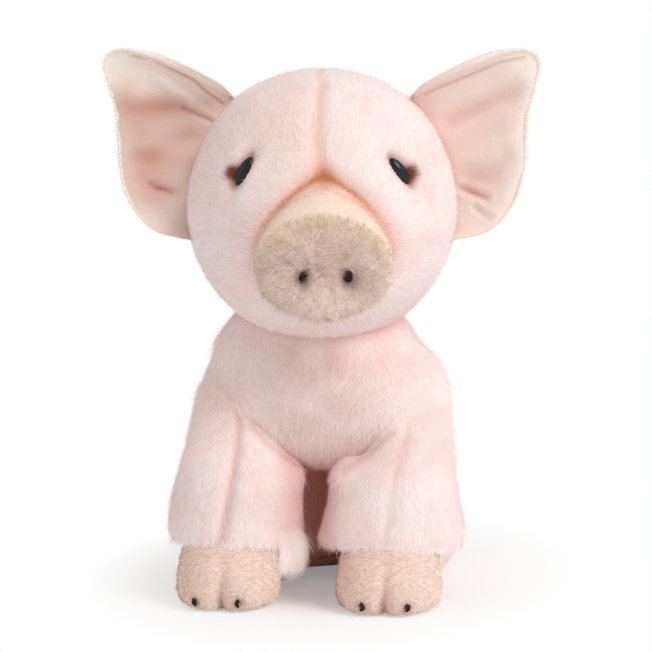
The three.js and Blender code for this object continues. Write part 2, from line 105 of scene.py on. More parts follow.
def unit(vectors):
    return vectors / np.maximum(np.linalg.norm(vectors, axis=-1, keepdims=True), 1e-9)


def bump(distance, width):
    return np.exp(-((distance / width) ** 2))


def ease(low, high, value):
    share = np.clip((value - low) / (high - low), 0, 1)
    return share * share * (3 - 2 * share)


def noise(points, cell, seed):
    """Smooth vector noise, each part from -1 to 1."""
    at = points / cell
    low = np.floor(at).astype(np.int64)
    part = at - low
    part = part * part * (3 - 2 * part)
    total = np.zeros((len(points), 3))
    for corner in np.ndindex(2, 2, 2):
        here = low + corner
        index = (here @ np.array([7919, 104729, 1299709]) + seed * 15485863) % NOISE_ROWS
        share = np.prod(np.where(corner, part, 1 - part), axis=1)
        total += share[:, None] * shuffled[index]
    return total


def path_distance(places, path):
    """How far 2-D or 3-D places are from a line through points."""
    path = np.array(path, float)
    best = np.full(len(places), np.inf)
    for a, b in zip(path[:-1], path[1:]):
        way = b - a
        share = np.clip((places - a) @ way / (way @ way), 0, 1)
        best = np.minimum(best, np.linalg.norm(places - a - share[:, None] * way, axis=1))
    return best


def seen_line(points, normals, path, width):
    """1 on a line of the photograph's pixels and 0 away from it, on faces turned that way."""
    facing = ease(0.05, 0.35, normals @ view_back)
    return facing * bump(path_distance(pixels_of(points), path), width)


def rows_of(table, count):
    """A table's rows again, more of them, on a smooth curve."""
    table = np.array(table, float)
    at = np.linspace(0, len(table) - 1, count)
    i = np.clip(at.astype(int), 0, len(table) - 2)
    f = (at - i)[:, None]
    a, b = table[np.maximum(i - 1, 0)], table[i]
    c, d = table[i + 1], table[np.minimum(i + 2, len(table) - 1)]
    return 0.5 * (
        2 * b + (c - a) * f + (2 * a - 5 * b + 4 * c - d) * f**2 + (3 * b - a - 3 * c + d) * f**3
    )


def angles(count):
    """Evenly round a circle, from 0."""
    return np.linspace(0, 2 * math.pi, count, endpoint=False)


def hoop(middle, radius, first, second, count):
    """A ring of points round a middle, in the plane of two directions."""
    around = angles(count)[:, None]
    return middle + radius * (np.cos(around) * first + np.sin(around) * second)


def signed_power(values, power):
    return np.sign(values) * np.abs(values) ** power


def blot(across, up, width=1.0):
    """1 in the middle of a spot and 0 away from it."""
    return bump(np.hypot(across, up), width)


# Closed skins


class Form:
    """A closed skin over rings of points, in millimetres."""

    def __init__(self, rings, low=None, high=None):
        rings = np.asarray(rings, float)
        rows, sides = rings.shape[:2]
        low = rings[0].mean(0) if low is None else low
        high = rings[-1].mean(0) if high is None else high
        self.v = np.concatenate([rings.reshape(-1, 3), [low, high]])
        i = np.arange(rows * sides).reshape(rows, sides)
        j = np.roll(i, -1, axis=1)
        self.quads = np.stack([i[:-1], j[:-1], j[1:], i[1:]], -1).reshape(-1, 4)
        bottom = np.stack([np.full(sides, rows * sides), j[0], i[0]], -1)
        top = np.stack([np.full(sides, rows * sides + 1), i[-1], j[-1]], -1)
        self.caps = np.concatenate([bottom, top])
        self.place()
        a, b, c = (self.v[self.tris[:, k]] for k in range(3))
        if (a * np.cross(b, c)).sum() < 0:
            self.quads, self.caps = self.quads[:, ::-1], self.caps[:, ::-1]
            self.place()

    def place(self):
        """Works out the triangles and normals for the points as they are."""
        q = self.quads
        self.tris = np.concatenate([q[:, [0, 1, 2]], q[:, [0, 2, 3]], self.caps])
        a, b, c = (self.v[self.tris[:, k]] for k in range(3))
        across = np.cross(b - a, c - a)
        self.area = np.linalg.norm(across, axis=1) / 2
        normals = np.zeros_like(self.v)
        for k in range(3):
            for axis in range(3):
                normals[:, axis] += np.bincount(self.tris[:, k], across[:, axis], len(self.v))
        self.n = unit(normals)
        return self

    def push(self, amount):
        self.v = self.v + self.n * np.asarray(amount)[:, None]
        return self.place()

    def moved(self, points):
        self.v = points
        return self.place()


def new_object(name, data):
    thing = bpy.data.objects.new(name, data)
    bpy.context.scene.collection.objects.link(thing)
    return thing


def mesh_of(name, points, *face_arrays):
    """A smooth mesh in metres from points in millimetres and arrays of faces."""
    mesh = bpy.data.meshes.new(name)
    mesh.vertices.add(len(points))
    mesh.vertices.foreach_set("co", (points * MM).astype(np.float32).ravel())
    corners = np.concatenate([faces.ravel() for faces in face_arrays]).astype(np.int32)
    totals = np.concatenate([np.full(len(faces), faces.shape[1]) for faces in face_arrays])
    mesh.loops.add(len(corners))
    mesh.loops.foreach_set("vertex_index", corners)
    mesh.polygons.add(len(totals))
    starts = np.concatenate([[0], np.cumsum(totals)[:-1]]).astype(np.int32)
    mesh.polygons.foreach_set("loop_start", starts)
    mesh.polygons.foreach_set("use_smooth", np.ones(len(totals), bool))
    mesh.update(calc_edges=True)
    return mesh


def write_values(mesh, name, values):
    layer = mesh.attributes.new(name, "FLOAT", "POINT")
    layer.data.foreach_set("value", np.asarray(values, np.float32))


def skin(name, body, form, material, replaces=(), marks=None):
    """The cloth of a stuffed piece."""
    mesh = mesh_of(name, form.v, form.quads, form.caps)
    for key in MARKS:
        values = marks[key](form.v, form.n) if marks and key in marks else np.zeros(len(form.v))
        write_values(mesh, key, values)
    write_values(mesh, "along", np.zeros(len(form.v)))
    write_values(mesh, "tone", np.full(len(form.v), 0.5))
    mesh.materials.append(material)
    thing = new_object(name, mesh)
    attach(thing, body)
    if replaces:
        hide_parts(*replaces)


# Pile: each fibre is a tapered ribbon of two bends, rooted in a skin

# Marks by attribute: the stain mark also carries painted shade, and the warm-tint mark carries painted
# light and shade.
MARKS = "stain_and_painted_shade", "shade", "tint_and_painted_light"
BODY_FIBRES = {"length": 4.4, "width": 0.2, "lean": 74, "soft": 0.95}
FUZZ_SHORTER, WISP_LONGER = 0.75, 1.7  # the standing fibres' and the wisps' lengths in the others'
SUNK, PILE_FLOOR = 0.25, 0.15  # a fibre's root under its skin, and the lowest that one goes
TILE = 0.8  # share of its tile that a fibre's patch of the baking map takes


def pile(
    name, body, form, material, slot, count, length, width, lean, comb, clump=(2.4, 0.8), stray=0.35,
    soft=0.72, keep=None, scale=None, marks=None, stand=None, fuzz=0.06, wisps=0.0,
):
    weights = form.area / form.area.sum()
    order = np.cumsum(weights)
    picks = np.searchsorted(order, (np.arange(count) + rng.random(count)) / count)
    corners = form.tris[np.minimum(picks, len(form.tris) - 1)]
    s, t = rng.random((2, count, 1))
    s, t = np.where(s + t > 1, 1 - s, s), np.where(s + t > 1, 1 - t, t)
    mix = lambda values: (
        values[corners[:, 0]] * (1 - s - t) + values[corners[:, 1]] * s + values[corners[:, 2]] * t
    )
    root, normal = mix(form.v), unit(mix(form.n))
    if keep is not None:
        chosen = keep(root, normal)
        if chosen.dtype != bool:
            chosen = rng.random(count) < chosen
        root, normal = root[chosen], normal[chosen]
    count = len(root)
    draw = rng.random((6, count))
    along = comb(root, normal) + stray * rng.normal(size=(count, 3))
    along = along + clump[1] * noise(root, clump[0], 3) * 0.5 + 0.2 * noise(root, 9.0, 5)
    along = unit(along - normal * (along * normal).sum(1, keepdims=True))
    tall = length * (0.75 + 0.45 * draw[0])
    if scale is not None:
        tall = tall * scale(root, normal)
    tilt = np.radians(lean if stand is None else stand(root, normal, lean))
    tilt = tilt + np.radians(8) * (draw[1] - 0.5) * 2
    stands = draw[5] < fuzz
    tilt = np.where(stands, tilt * 0.55, tilt)
    tall = np.where(stands, tall * FUZZ_SHORTER, tall)
    tall = np.where(draw[5] > 1 - wisps, tall * WISP_LONGER, tall)
    first, last = tilt * 0.8, np.minimum(tilt * 1.2, np.radians(86))
    way = lambda angle: normal * np.cos(angle)[:, None] + along * np.sin(angle)[:, None]
    start = root - normal * SUNK
    middle = start + way(first) * (tall * 0.5)[:, None]
    drift = clump[1] * noise(root, clump[0], 8)
    middle = middle + 0.3 * drift
    tip = middle + way(last) * (tall * 0.5)[:, None] + 0.7 * drift
    across = unit(np.cross(way(tilt), normal))
    twist = (draw[2] - 0.5) * 0.5
    own = unit(np.cross(across, way(tilt)))
    own *= np.sign((own * normal).sum(1, keepdims=True))
    across = across * np.cos(twist)[:, None] + own * np.sin(twist)[:, None]
    half = (width * (0.7 + 0.6 * draw[3]) * np.where(stands, 0.7, 1) / 2)[:, None]
    points = np.stack(
        [
            start - across * half, start + across * half, middle - across * half * 0.85,
            middle + across * half * 0.85, tip,
        ],
        1,
    )
    points[:, :, 2] = np.maximum(points[:, :, 2], PILE_FLOOR)
    first_corner = np.arange(count)[:, None] * 5
    quads, tris = first_corner + [0, 1, 3, 2], first_corner + [2, 3, 4]
    facing = np.cross(points[:, 1] - points[:, 0], points[:, 2] - points[:, 0])
    turned = (facing * normal).sum(1) < 0
    quads[turned], tris[turned] = quads[turned][:, ::-1], tris[turned][:, ::-1]
    mesh = mesh_of(name, points.reshape(-1, 3), quads, tris)

    facing = unit(np.where(turned[:, None], -facing, facing))
    shown = unit(soft * normal + (1 - soft) * facing + 0.06 * noise(root, clump[0], 21))
    mesh.normals_split_custom_set_from_vertices(np.repeat(shown, 5, axis=0))
    write_values(mesh, "along", np.tile([0, 0, 0.5, 0.5, 1.0], count))
    write_values(mesh, "tone", np.repeat(draw[4], 5))
    for key in MARKS:
        if marks and key in marks:
            low, bend, end = (marks[key](at, normal) for at in (start, middle, tip))
            write_values(mesh, key, np.stack([low, low, bend, bend, end], 1).ravel())
        else:
            write_values(mesh, key, np.zeros(5 * count))
    write_baking_map(mesh, root, count)
    mesh.materials.append(material)
    thing = new_object(name, mesh)
    # Light passes through fine long pile, and its skin alone casts its shadow.
    thing.visible_shadow = thing.visible_diffuse = False
    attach(thing, body)


def soft_piece(names, body, form, material, slot, fill, replaces, marks=None, **fibres):
    """A skin and the pile that grows on it."""
    skin(names[0], body, form, material, replaces, marks)
    pile(names[1], body, form, material, slot, marks=marks, **fibres)


def write_baking_map(mesh, root, count):
    """Gives each fibre a small tile of a UV map for baking colours through."""
    side = math.ceil(math.sqrt(count))
    rows = np.argsort(root[:, 2], kind="stable")
    around = np.arctan2(root[:, 0] - root[:, 0].mean(), root[:, 1] - root[:, 1].mean())
    tile = np.empty((count, 2))
    for row in range(side):
        here = rows[row * side : (row + 1) * side]
        here = here[np.argsort(around[here], kind="stable")]
        tile[here, 0], tile[here, 1] = np.arange(len(here)), row
    edge = (1 - TILE) / 2
    places = np.array([[0, 0], [1, 0], [0, 0.5], [1, 0.5], [0.5, 1]]) * TILE + edge
    corners = ((tile[:, None, :] + places) / side).reshape(-1, 2)
    index = np.empty(len(mesh.loops), np.int32)
    mesh.loops.foreach_get("vertex_index", index)
    layer = mesh.uv_layers.new(name="OFBake")
    layer.data.foreach_set("uv", corners[index].astype(np.float32).ravel())


# Materials


def srgb(r, g, b):
    """A colour as the eye reads it, from 0 to 255, as the shader needs it."""
    part = np.array([r, g, b]) / 255
    linear = np.where(part <= 0.04045, part / 12.92, ((part + 0.055) / 1.055) ** 2.4)
    return (*linear, 1.0)


class Nodes:
    """A short way to write a material's nodes."""

    def __init__(self, name):
        self.material = bpy.data.materials.new(name)
        self.material.use_nodes = True
        self.tree = self.material.node_tree
        self.shader = self.tree.nodes["Principled BSDF"]

    def add(self, kind, **settings):
        node = self.tree.nodes.new("ShaderNode" + kind)
        for key, value in settings.items():
            setattr(node, key, value)
        return node

    def link(self, start, end):
        self.tree.links.new(start, end)

    def value(self, name):
        return self.add("Attribute", attribute_name=name).outputs["Fac"]

    def mix(self, share, a, b, blend="MIX"):
        node = self.add("Mix", data_type="RGBA", blend_type=blend)
        for socket, given in zip((node.inputs[0], node.inputs[6], node.inputs[7]), (share, a, b)):
            if isinstance(given, (tuple, float, int)):
                socket.default_value = given
            else:
                self.link(given, socket)
        return node.outputs[2]

    def ramp(self, share, low, high):
        """From 0 at low to 1 at high."""
        node = self.add("MapRange", interpolation_type="SMOOTHSTEP")
        node.inputs["From Min"].default_value, node.inputs["From Max"].default_value = low, high
        self.link(share, node.inputs["Value"])
        return node.outputs["Result"]

    def noise(self, scale, detail=2.0):
        spot = self.add("TexCoord")
        node = self.add("TexNoise")
        node.inputs["Scale"].default_value, node.inputs["Detail"].default_value = scale, detail
        self.link(spot.outputs["Object"], node.inputs["Vector"])
        return node.outputs["Fac"]

    def times(self, value, factor):
        node = self.add("Math", operation="MULTIPLY")
        self.link(value, node.inputs[0])
        node.inputs[1].default_value = factor
        return node.outputs[0]

    def bump(self, height, strength, distance):
        node = self.add("Bump")
        node.inputs["Strength"].default_value = strength
        node.inputs["Distance"].default_value = distance
        self.link(height, node.inputs["Height"])
        self.link(node.outputs["Normal"], self.shader.inputs["Normal"])


def pile_material(name, tip, root, blotch, stain_and_painted_shade, shade, tint_and_painted_light, blotches=38.0):
    """Pile: painted darker towards the roots, as shade deep in it, blotched, with stains, tints and
    painted light and shade by attribute.
    """
    nodes = Nodes(name)
    patches = nodes.ramp(nodes.noise(blotches, 4), 0.42, 0.66)
    colour = nodes.mix(nodes.times(patches, 0.75), tip, blotch)
    colour = nodes.mix(nodes.value("tint_and_painted_light"), colour, tint_and_painted_light)
    colour = nodes.mix(nodes.value("shade"), colour, shade)
    colour = nodes.mix(nodes.value("stain_and_painted_shade"), colour, stain_and_painted_shade)
    # Painted shade deep in the pile: a fibre darkens towards its root, and a bare skin takes the root's
    # colour.
    depth = nodes.mix(nodes.ramp(nodes.value("along"), -0.1, 0.9), root, srgb(255, 255, 255))
    colour = nodes.mix(1.0, colour, depth, "MULTIPLY")
    grain = nodes.ramp(nodes.noise(900, 1), 0.2, 0.8)
    tone = nodes.mix(nodes.value("tone"), srgb(238, 233, 231), srgb(255, 255, 255))
    tone = nodes.mix(nodes.times(grain, 0.5), tone, srgb(255, 250, 247), "MULTIPLY")
    colour = nodes.mix(1.0, colour, tone, "MULTIPLY")
    nodes.link(colour, nodes.shader.inputs["Base Color"])
    nodes.shader.inputs["Roughness"].default_value = 0.85
    nodes.shader.inputs["Specular IOR Level"].default_value = 0.18
    nodes.shader.inputs["Sheen Weight"].default_value = 0.25
    nodes.shader.inputs["Sheen Roughness"].default_value = 0.6
    nodes.shader.inputs["Sheen Tint"].default_value = srgb(255, 240, 236)
    return nodes.material


def plain_material(name, colour, other, roughness, scale=600.0, bumps=0.2, gloss=0.5):
    nodes = Nodes(name)
    specks = nodes.noise(scale, 3)
    nodes.link(nodes.mix(specks, colour, other), nodes.shader.inputs["Base Color"])
    nodes.shader.inputs["Roughness"].default_value = roughness
    nodes.shader.inputs["Specular IOR Level"].default_value = gloss
    if bumps:
        nodes.bump(specks, bumps, 0.0004)
    return nodes.material


# Its warm-tint colour gives the peach of the seam and the fold, and the painted shade on the brow.
long_pile = pile_material(
    "long_pile", tip=srgb(253, 245, 245), root=srgb(249, 227, 224), blotch=srgb(250, 229, 227),
    stain_and_painted_shade=srgb(118, 62, 34), shade=srgb(206, 136, 94), tint_and_painted_light=srgb(250, 212, 194),
)
# Its stain colour paints the deep shade between the legs, its shade colour the shade in the folds and on
# the legs' inner sides, and its grey warm-tint colour the head's shadow on the chest.
body_pile = pile_material(
    "body_pile", tip=srgb(253, 244, 244), root=srgb(250, 230, 227), blotch=srgb(250, 227, 225),
    stain_and_painted_shade=srgb(160, 84, 46), shade=srgb(214, 150, 138), tint_and_painted_light=srgb(208, 190, 187),
)
ear_pile = pile_material(
    "ear_pile", tip=srgb(254, 249, 243), root=srgb(251, 241, 235), blotch=srgb(252, 241, 233),
    stain_and_painted_shade=srgb(160, 84, 46), shade=srgb(226, 178, 148), tint_and_painted_light=srgb(248, 208, 196),
)
short_pile = pile_material(
    "short_pile", tip=srgb(255, 241, 229), root=srgb(240, 222, 216), blotch=srgb(255, 241, 226),
    stain_and_painted_shade=srgb(140, 88, 60), shade=srgb(206, 170, 154), tint_and_painted_light=srgb(250, 210, 192), blotches=60.0,
)
# Its stain colour gives the nostrils' brown and the painted shade on the disc's lower side towards the
# head's right.
snout_pile = pile_material(
    "snout_pile", tip=srgb(241, 221, 209), root=srgb(208, 190, 179), blotch=srgb(228, 205, 192),
    stain_and_painted_shade=srgb(92, 50, 32), shade=srgb(220, 196, 158), tint_and_painted_light=srgb(255, 240, 224), blotches=60.0,
)
band_pile = pile_material(
    "band_pile", tip=srgb(252, 235, 222), root=srgb(245, 230, 221), blotch=srgb(250, 229, 214),
    stain_and_painted_shade=srgb(92, 50, 32), shade=srgb(222, 200, 158), tint_and_painted_light=srgb(255, 240, 226), blotches=60.0,
)
# Its stain colour is painted shade in the lining's folds; its shade colour gives the seam and the painted
# shade in the hollows; its pale warm-tint colour is partly painted light at the low end.
lining_pile = pile_material(
    "lining_pile", tip=srgb(250, 235, 227), root=srgb(251, 245, 242), blotch=srgb(247, 224, 214),
    stain_and_painted_shade=srgb(206, 128, 106), shade=srgb(204, 158, 140), tint_and_painted_light=srgb(254, 249, 240), blotches=45.0,
)
dark_thread = plain_material("dark_thread", srgb(30, 17, 12), srgb(62, 36, 24), 0.7, 2500, gloss=0.2)
pink_thread = plain_material("pink_thread", srgb(233, 188, 176), srgb(246, 212, 202), 0.7, 2500)
# Black plastic; its teal-grey specks are a painted sheen.
eye_plastic = plain_material(
    "eye_plastic", srgb(8, 8, 9), srgb(26, 32, 34), 0.22, 200, bumps=0, gloss=0.4
)
washer_plastic = plain_material("washer_plastic", srgb(232, 230, 224), srgb(240, 238, 232), 0.5)

# Stuffed forms, as rows of height, half width, half depth and lean, in shares

torso_shares = [
    [0, 0.675, 0.51, 0], [0.03, 0.79, 0.65, 0], [0.1, 0.875, 0.765, 0], [0.22, 0.95, 0.835, 0],
    [0.34, 0.99, 0.915, 0.09], [0.44, 1, 0.995, 0.29], [0.52, 0.995, 1, 0.41], [0.6, 0.965, 0.955, 0.52],
    [0.68, 0.92, 0.875, 0.61], [0.75, 0.84, 0.775, 0.68], [0.82, 0.75, 0.665, 0.74],
    [0.88, 0.63, 0.545, 0.8], [0.94, 0.45, 0.37, 0.88], [1, 0.15, 0.105, 1],
]
leg_shares = {  # the last column is millimetres away from the middle
    "left": [
        [0, 1.065, 0.96, 0, 0.5], [0.07, 1.085, 1, 0, 0.4], [0.24, 0.975, 0.975, 0.04, 1.0],
        [0.4, 0.83, 0.905, 0.08, 3.3], [0.54, 0.62, 0.77, 0.25, 6.6], [0.68, 0.46, 0.62, 0.65, 8.2],
        [0.81, 0.33, 0.46, 1.2, 8.2], [0.92, 0.2, 0.3, 1.6, 7.6], [1, 0.08, 0.1, 1.9, 7],
    ],
    "right": [
        [0, 0.97, 0.96, 0, 0], [0.07, 1, 1, 0, 0], [0.24, 0.965, 0.975, 0.04, -0.4],
        [0.4, 0.918, 0.905, 0.08, -1.3], [0.54, 0.71, 0.77, 0.25, 1.2], [0.68, 0.52, 0.62, 0.65, 3.6],
        [0.81, 0.345, 0.46, 1.2, 4.4], [0.92, 0.2, 0.3, 1.6, 4.4], [1, 0.08, 0.1, 1.9, 4.2],
    ],
}
hoof_shares = [
    [0, 0.88, 0.89, 0], [0.06, 0.985, 0.985, 0], [0.2, 1.045, 1.035, 0], [0.45, 1.02, 1, 0.03],
    [0.7, 0.93, 0.86, 0.12], [0.84, 0.8, 0.7, 0.2], [0.95, 0.56, 0.5, 0.26], [1, 0.22, 0.2, 0.28],
]
haunch_shares = [
    [0, 0.55, 0.6, 0], [0.05, 0.76, 0.8, 0], [0.18, 0.94, 0.95, 0], [0.4, 1, 1, 0],
    [0.62, 0.95, 0.92, -0.2], [0.8, 0.76, 0.72, -0.5], [0.93, 0.45, 0.44, -0.85], [1, 0.15, 0.15, -1],
]


class Stuffed:
    """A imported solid's form of level ovals: its middle, sizes and table of shares."""

    def __init__(self, x, y, foot, height, wide, deep, lean, shares, splay=0.0, sway=0.0, square=0.0):
        self.x, self.y, self.foot, self.height = x, y, foot, height
        self.wide, self.deep, self.lean, self.splay = wide, deep, lean, splay
        self.shares = np.array(shares, float)
        self.sway, self.square = sway, square

    def ovals(self, rows, grow):
        up, wide, deep, lean = rows.T[:4]
        z = self.foot - grow + (self.height + 2 * grow) * up
        aside = rows.T[4] * self.splay if rows.shape[1] > 4 else self.sway * ease(70, 80, z)
        x, y = self.x + aside, self.y + self.lean * lean
        return x, y, z, (self.wide + grow) * wide, (self.deep + grow) * deep

    def power(self, z):
        """2 for an oval, more for a squarer front."""
        return 2 + self.square * ease(36, 52, z) * ease(94, 78, z)

    def rings(self, rows, sides, grow):
        x, y, z, wide, deep = (value[:, None] for value in self.ovals(rows_of(self.shares, rows), grow))
        around = angles(sides)
        power = np.where(np.sin(around) < 0, 2 / self.power(z), 1)
        cos, sin = np.cos(around) + 0 * z, np.sin(around) + 0 * z
        across, along = wide * signed_power(cos, power), deep * signed_power(sin, power)
        return np.stack([x + across, y + along, z + 0 * around], -1)

    def holds(self, points, grow=0.0):
        """Whether points are inside."""
        x, y, z, wide, deep = self.ovals(rows_of(self.shares, 80), grow)
        z = np.maximum.accumulate(z)
        at = [np.interp(points[:, 2], z, values) for values in (x, y, wide, deep)]
        across, along = np.abs(points[:, 0] - at[0]) / at[2], (points[:, 1] - at[1]) / at[3]
        power = np.where(along < 0, self.power(points[:, 2]), 2)
        share = (across**power + np.abs(along) ** power) ** (1 / power)
        return (share < 1) & (points[:, 2] >= z[0]) & (points[:, 2] <= z[-1])


torso_form = Stuffed(0, 6, 0, 102, 40, 43, -27.5, torso_shares, sway=-3.0, square=0.8)
leg_forms, hoof_forms, haunch_forms, hind_hoof_forms = {}, {}, {}, {}
for name, side in SIDES.items():
    left = side > 0
    leg_forms[name] = Stuffed(
        side * 24.2, -48, 21, 50, 22.1 if left else 21.9, 18.8, 13, leg_shares[name], splay=side
    )
    hoof_forms[name] = Stuffed(
        25.1 if left else -25.7, -54, 0, 26, 16.4 if left else 16.0, 18, 18, hoof_shares
    )
    haunch_forms[name] = Stuffed(side * 25.5, 8, 0, 46, 15.5, 25, 5, haunch_shares)
    hind_hoof_forms[name] = Stuffed(side * 24.5, -17, 0, 17, 13, 14.5, 14.5, hoof_shares)

DOWN = np.array([0, 0, -1.0])


def downwards(root, normal):
    """Combed down and a little outwards from the middle."""
    return DOWN + 0.25 * unit(root * [1, 1, 0] - [0, -10, 0])


# Head

HEAD_RADIUS = 41.5
HEAD_TURN = math.radians(8)
DROOP = math.radians(20)
SWELL, SWELL_SPREAD = 2.4, math.radians(32)
HEAD_PILE, CROWN_RISE = 1.8, 1.6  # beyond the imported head
head_turn = np.array(
    [
        [math.cos(HEAD_TURN), -math.sin(HEAD_TURN), 0], [math.sin(HEAD_TURN), math.cos(HEAD_TURN), 0],
        [0, 0, 1],
    ]
)
snout_axis = np.array([0, -math.cos(DROOP), -math.sin(DROOP)])  # in the head's own frame
snout_up = np.array([0, -math.sin(DROOP), math.cos(DROOP)])
SNOUT_RISE = 3.4
EYE_AROUND, EYE_ABOVE = math.radians(38.6), math.radians(20.2)
EYE_LONG, EYE_WIDE = 5.3, 2.5  # half sizes of what shows of an eye
EYE_SLANT = {"right": 0.38, "left": 0.55}


def to_head(points):
    return (points - HEAD_CENTRE) @ head_turn


def from_head(points):
    return points @ head_turn.T + HEAD_CENTRE


def from_middle(points):
    """How far points are from the head's middle."""
    return np.linalg.norm(points - HEAD_CENTRE, axis=1)


def turned(vectors):
    return vectors @ head_turn.T


eye_ways = {name: direction(side * EYE_AROUND, EYE_ABOVE) for name, side in SIDES.items()}


def eye_axes(name):
    """An eye's slit direction, from its lower outer to its upper inner end, and across it.

    The third way points level to the snout.
    """
    way, side = eye_ways[name], SIDES[name]
    level = unit(np.cross([0, 0, 1.0], way)) * side * -1  # towards the snout
    if level @ np.array([side, 0, 0]) > 0:
        level = -level
    rise = np.cross(way, level)
    rise = rise if rise[2] > 0 else -rise
    slant = EYE_SLANT[name]
    slit = slant * level + math.sqrt(1 - slant**2) * rise
    return slit, np.cross(way, slit), level


def eye_place(local, name):
    """Head-frame points along an eye's slit and across it, those behind the head far off."""
    slit, across, _ = eye_axes(name)
    off = local - eye_ways[name] * (HEAD_RADIUS + HEAD_PILE)
    behind = np.where(local @ eye_ways[name] < 0, 10 * HEAD_RADIUS, 0)
    return off @ slit + behind, off @ across


def snout_place(local):
    """Head-frame points in the snout's frame: across, up and out of the face."""
    off = local - [0, 0, SNOUT_RISE]
    return np.stack([off[:, 0], off @ snout_up, off @ snout_axis], 1)


def in_snout(points):
    return snout_place(to_head(points))


SNOUT_ASIDE = 0.6
FOLD_WIDE, FOLD_PEAK, FOLD_LOW = 20.9, 21.8, 18.0
FOLD_POWER = 1.5  # of the fold's upper half, which is pointed: an oval's is 2


def fold_oval(place):
    """How far snout-frame points are outside the line where the snout leaves the face."""
    up = place[:, 1]
    high, power = np.where(up > 0, FOLD_PEAK, FOLD_LOW), np.where(up > 0, FOLD_POWER, 2)
    wide = np.abs(place[:, 0] - SNOUT_ASIDE) / FOLD_WIDE
    share = (wide**power + np.abs(up / high) ** power) ** (1 / power)
    return (share - 1) * FOLD_WIDE


def seam_off(local):
    """How far head-frame points are from the forehead's seam, which isn't quite straight."""
    return local[:, 0] + 1.6 * bump(local[:, 2] - 27, 12) * (local[:, 1] < 0)


def head_radius(way):
    """The head's outer radius in each direction of its own frame, with its pile."""
    off = np.arccos(np.clip(way @ snout_axis, -1, 1)) / SWELL_SPREAD
    crown = ease(0.3, 0.85, way[:, 2])
    return HEAD_RADIUS + HEAD_PILE + SWELL * np.exp(-off * off) + CROWN_RISE * crown


def head_form(grow):
    rows, sides = 150, 240
    up = np.linspace(-math.pi / 2, math.pi / 2, rows + 2)[1:-1]
    around = angles(sides)
    way = np.stack(
        [
            np.cos(up)[:, None] * np.cos(around), np.cos(up)[:, None] * np.sin(around),
            np.sin(up)[:, None] + 0 * around,
        ],
        -1,
    ).reshape(-1, 3)
    poles = np.array([[0, 0, -1.0], [0, 0, 1.0]])
    way = np.concatenate([way, poles])
    radius = head_radius(way) + grow
    points = way * radius[:, None]
    # The forehead's seam, from behind the crown down to the snout
    seam = bump(seam_off(points), 2.2) * ease(-0.15, 0.35, way[:, 2]) * ease(0.75, 0.2, way[:, 1])
    seam = seam * (1 - 0.8 * ease(0.9, 0.97, way[:, 2]))
    # The fold round the snout's root
    place = snout_place(points)
    fold = bump(fold_oval(place), 2.4) * (place[:, 2] > 0)
    radius = radius - 1.2 * seam - (1.4 + 1.2 * ease(0, 1, place[:, 1] / FOLD_PEAK)) * fold
    for name in SIDES:
        along, aside = eye_place(points, name)
        lids = bump(np.abs(aside) - EYE_WIDE - 1.5, 1.8) * bump(along, EYE_LONG + 1)
        socket = blot(along / EYE_LONG, aside / EYE_WIDE)
        radius = radius + 0.9 * lids - 2.3 * socket
    points = from_head(way * radius[:, None])
    return Form(points[:-2].reshape(rows, sides, 3), points[-2], points[-1])


def head_comb(root, normal):
    """Away from the snout, and falling at the sides. Beside an eye it leans over the eye."""
    local = to_head(root)
    away = unit(local) - snout_axis
    comb = unit(away) + 0.25 * DOWN
    for name in SIDES:
        along, aside = eye_place(local, name)
        slit, across, _ = eye_axes(name)
        out = unit(along[:, None] * 0.5 * slit + aside[:, None] * across)
        near = blot(along * 0.5, aside, 7.0)[:, None]
        comb = comb * (1 - near) + near * out * 1.5
    return turned(comb)


def eye_gap(root, normal):
    """Nothing grows under an eye's dome."""
    local = to_head(root)
    free = np.ones(len(root), bool)
    for name in SIDES:
        along, aside = eye_place(local, name)
        free &= np.hypot(along / (EYE_LONG + 0.6), aside / (EYE_WIDE + 0.4)) > 1
    return free


EAR_REACH, EAR_THICK, EAR_RIM, EAR_ROOT_GAP = 42.7, 5, 1.8, 1.15
EAR_BACK, EAR_CUP, EAR_LEAN = 3, 7, 5
EAR_LOW, EAR_HIGH = math.radians(-18.5), math.radians(51.5)
ear_shares = [  # up from the low end, reach of the cloth; the pile stands beyond it
    [0, 0.0],
    [0.073, 0.006],
    [0.171, 0.265],
    [0.288, 0.425],
    [0.407, 0.52],
    [0.545, 0.61],
    [0.631, 0.7],
    [0.703, 0.845],
    [0.752, 0.945],
    [0.805, 0.925],
    [0.871, 0.73],
    [0.933, 0.46],
    [1, 0.17],
]
EAR_EDGE, EAR_TOP_EDGE = 0.5, 6.6  # widths of the back's rim in front of the lining


def head_keep(root, normal):
    """Pile grows where the head shows: not under the snout or an eye."""
    local = to_head(root)
    place = snout_place(local)
    under_snout = (fold_oval(place) < -3.2) & (place[:, 2] > 0)
    return eye_gap(root, normal) & ~under_snout


def snout_fold(root, normal):
    """The orange crease round the top of the snout, deepest in the middle."""
    place = in_snout(root)
    ahead = place[:, 2] > 0
    height = place[:, 1] / FOLD_PEAK
    line = bump(fold_oval(place) - 0.1, 0.95) * (0.5 + 0.4 * ease(0.05, 0.9, height))
    peak = blot((place[:, 0] - SNOUT_ASIDE) / 3.8, (place[:, 1] - FOLD_PEAK - 0.4) / 3.4)
    return np.clip((line * ease(-0.5, -0.05, height) + 0.8 * peak) * ahead, 0, 1)


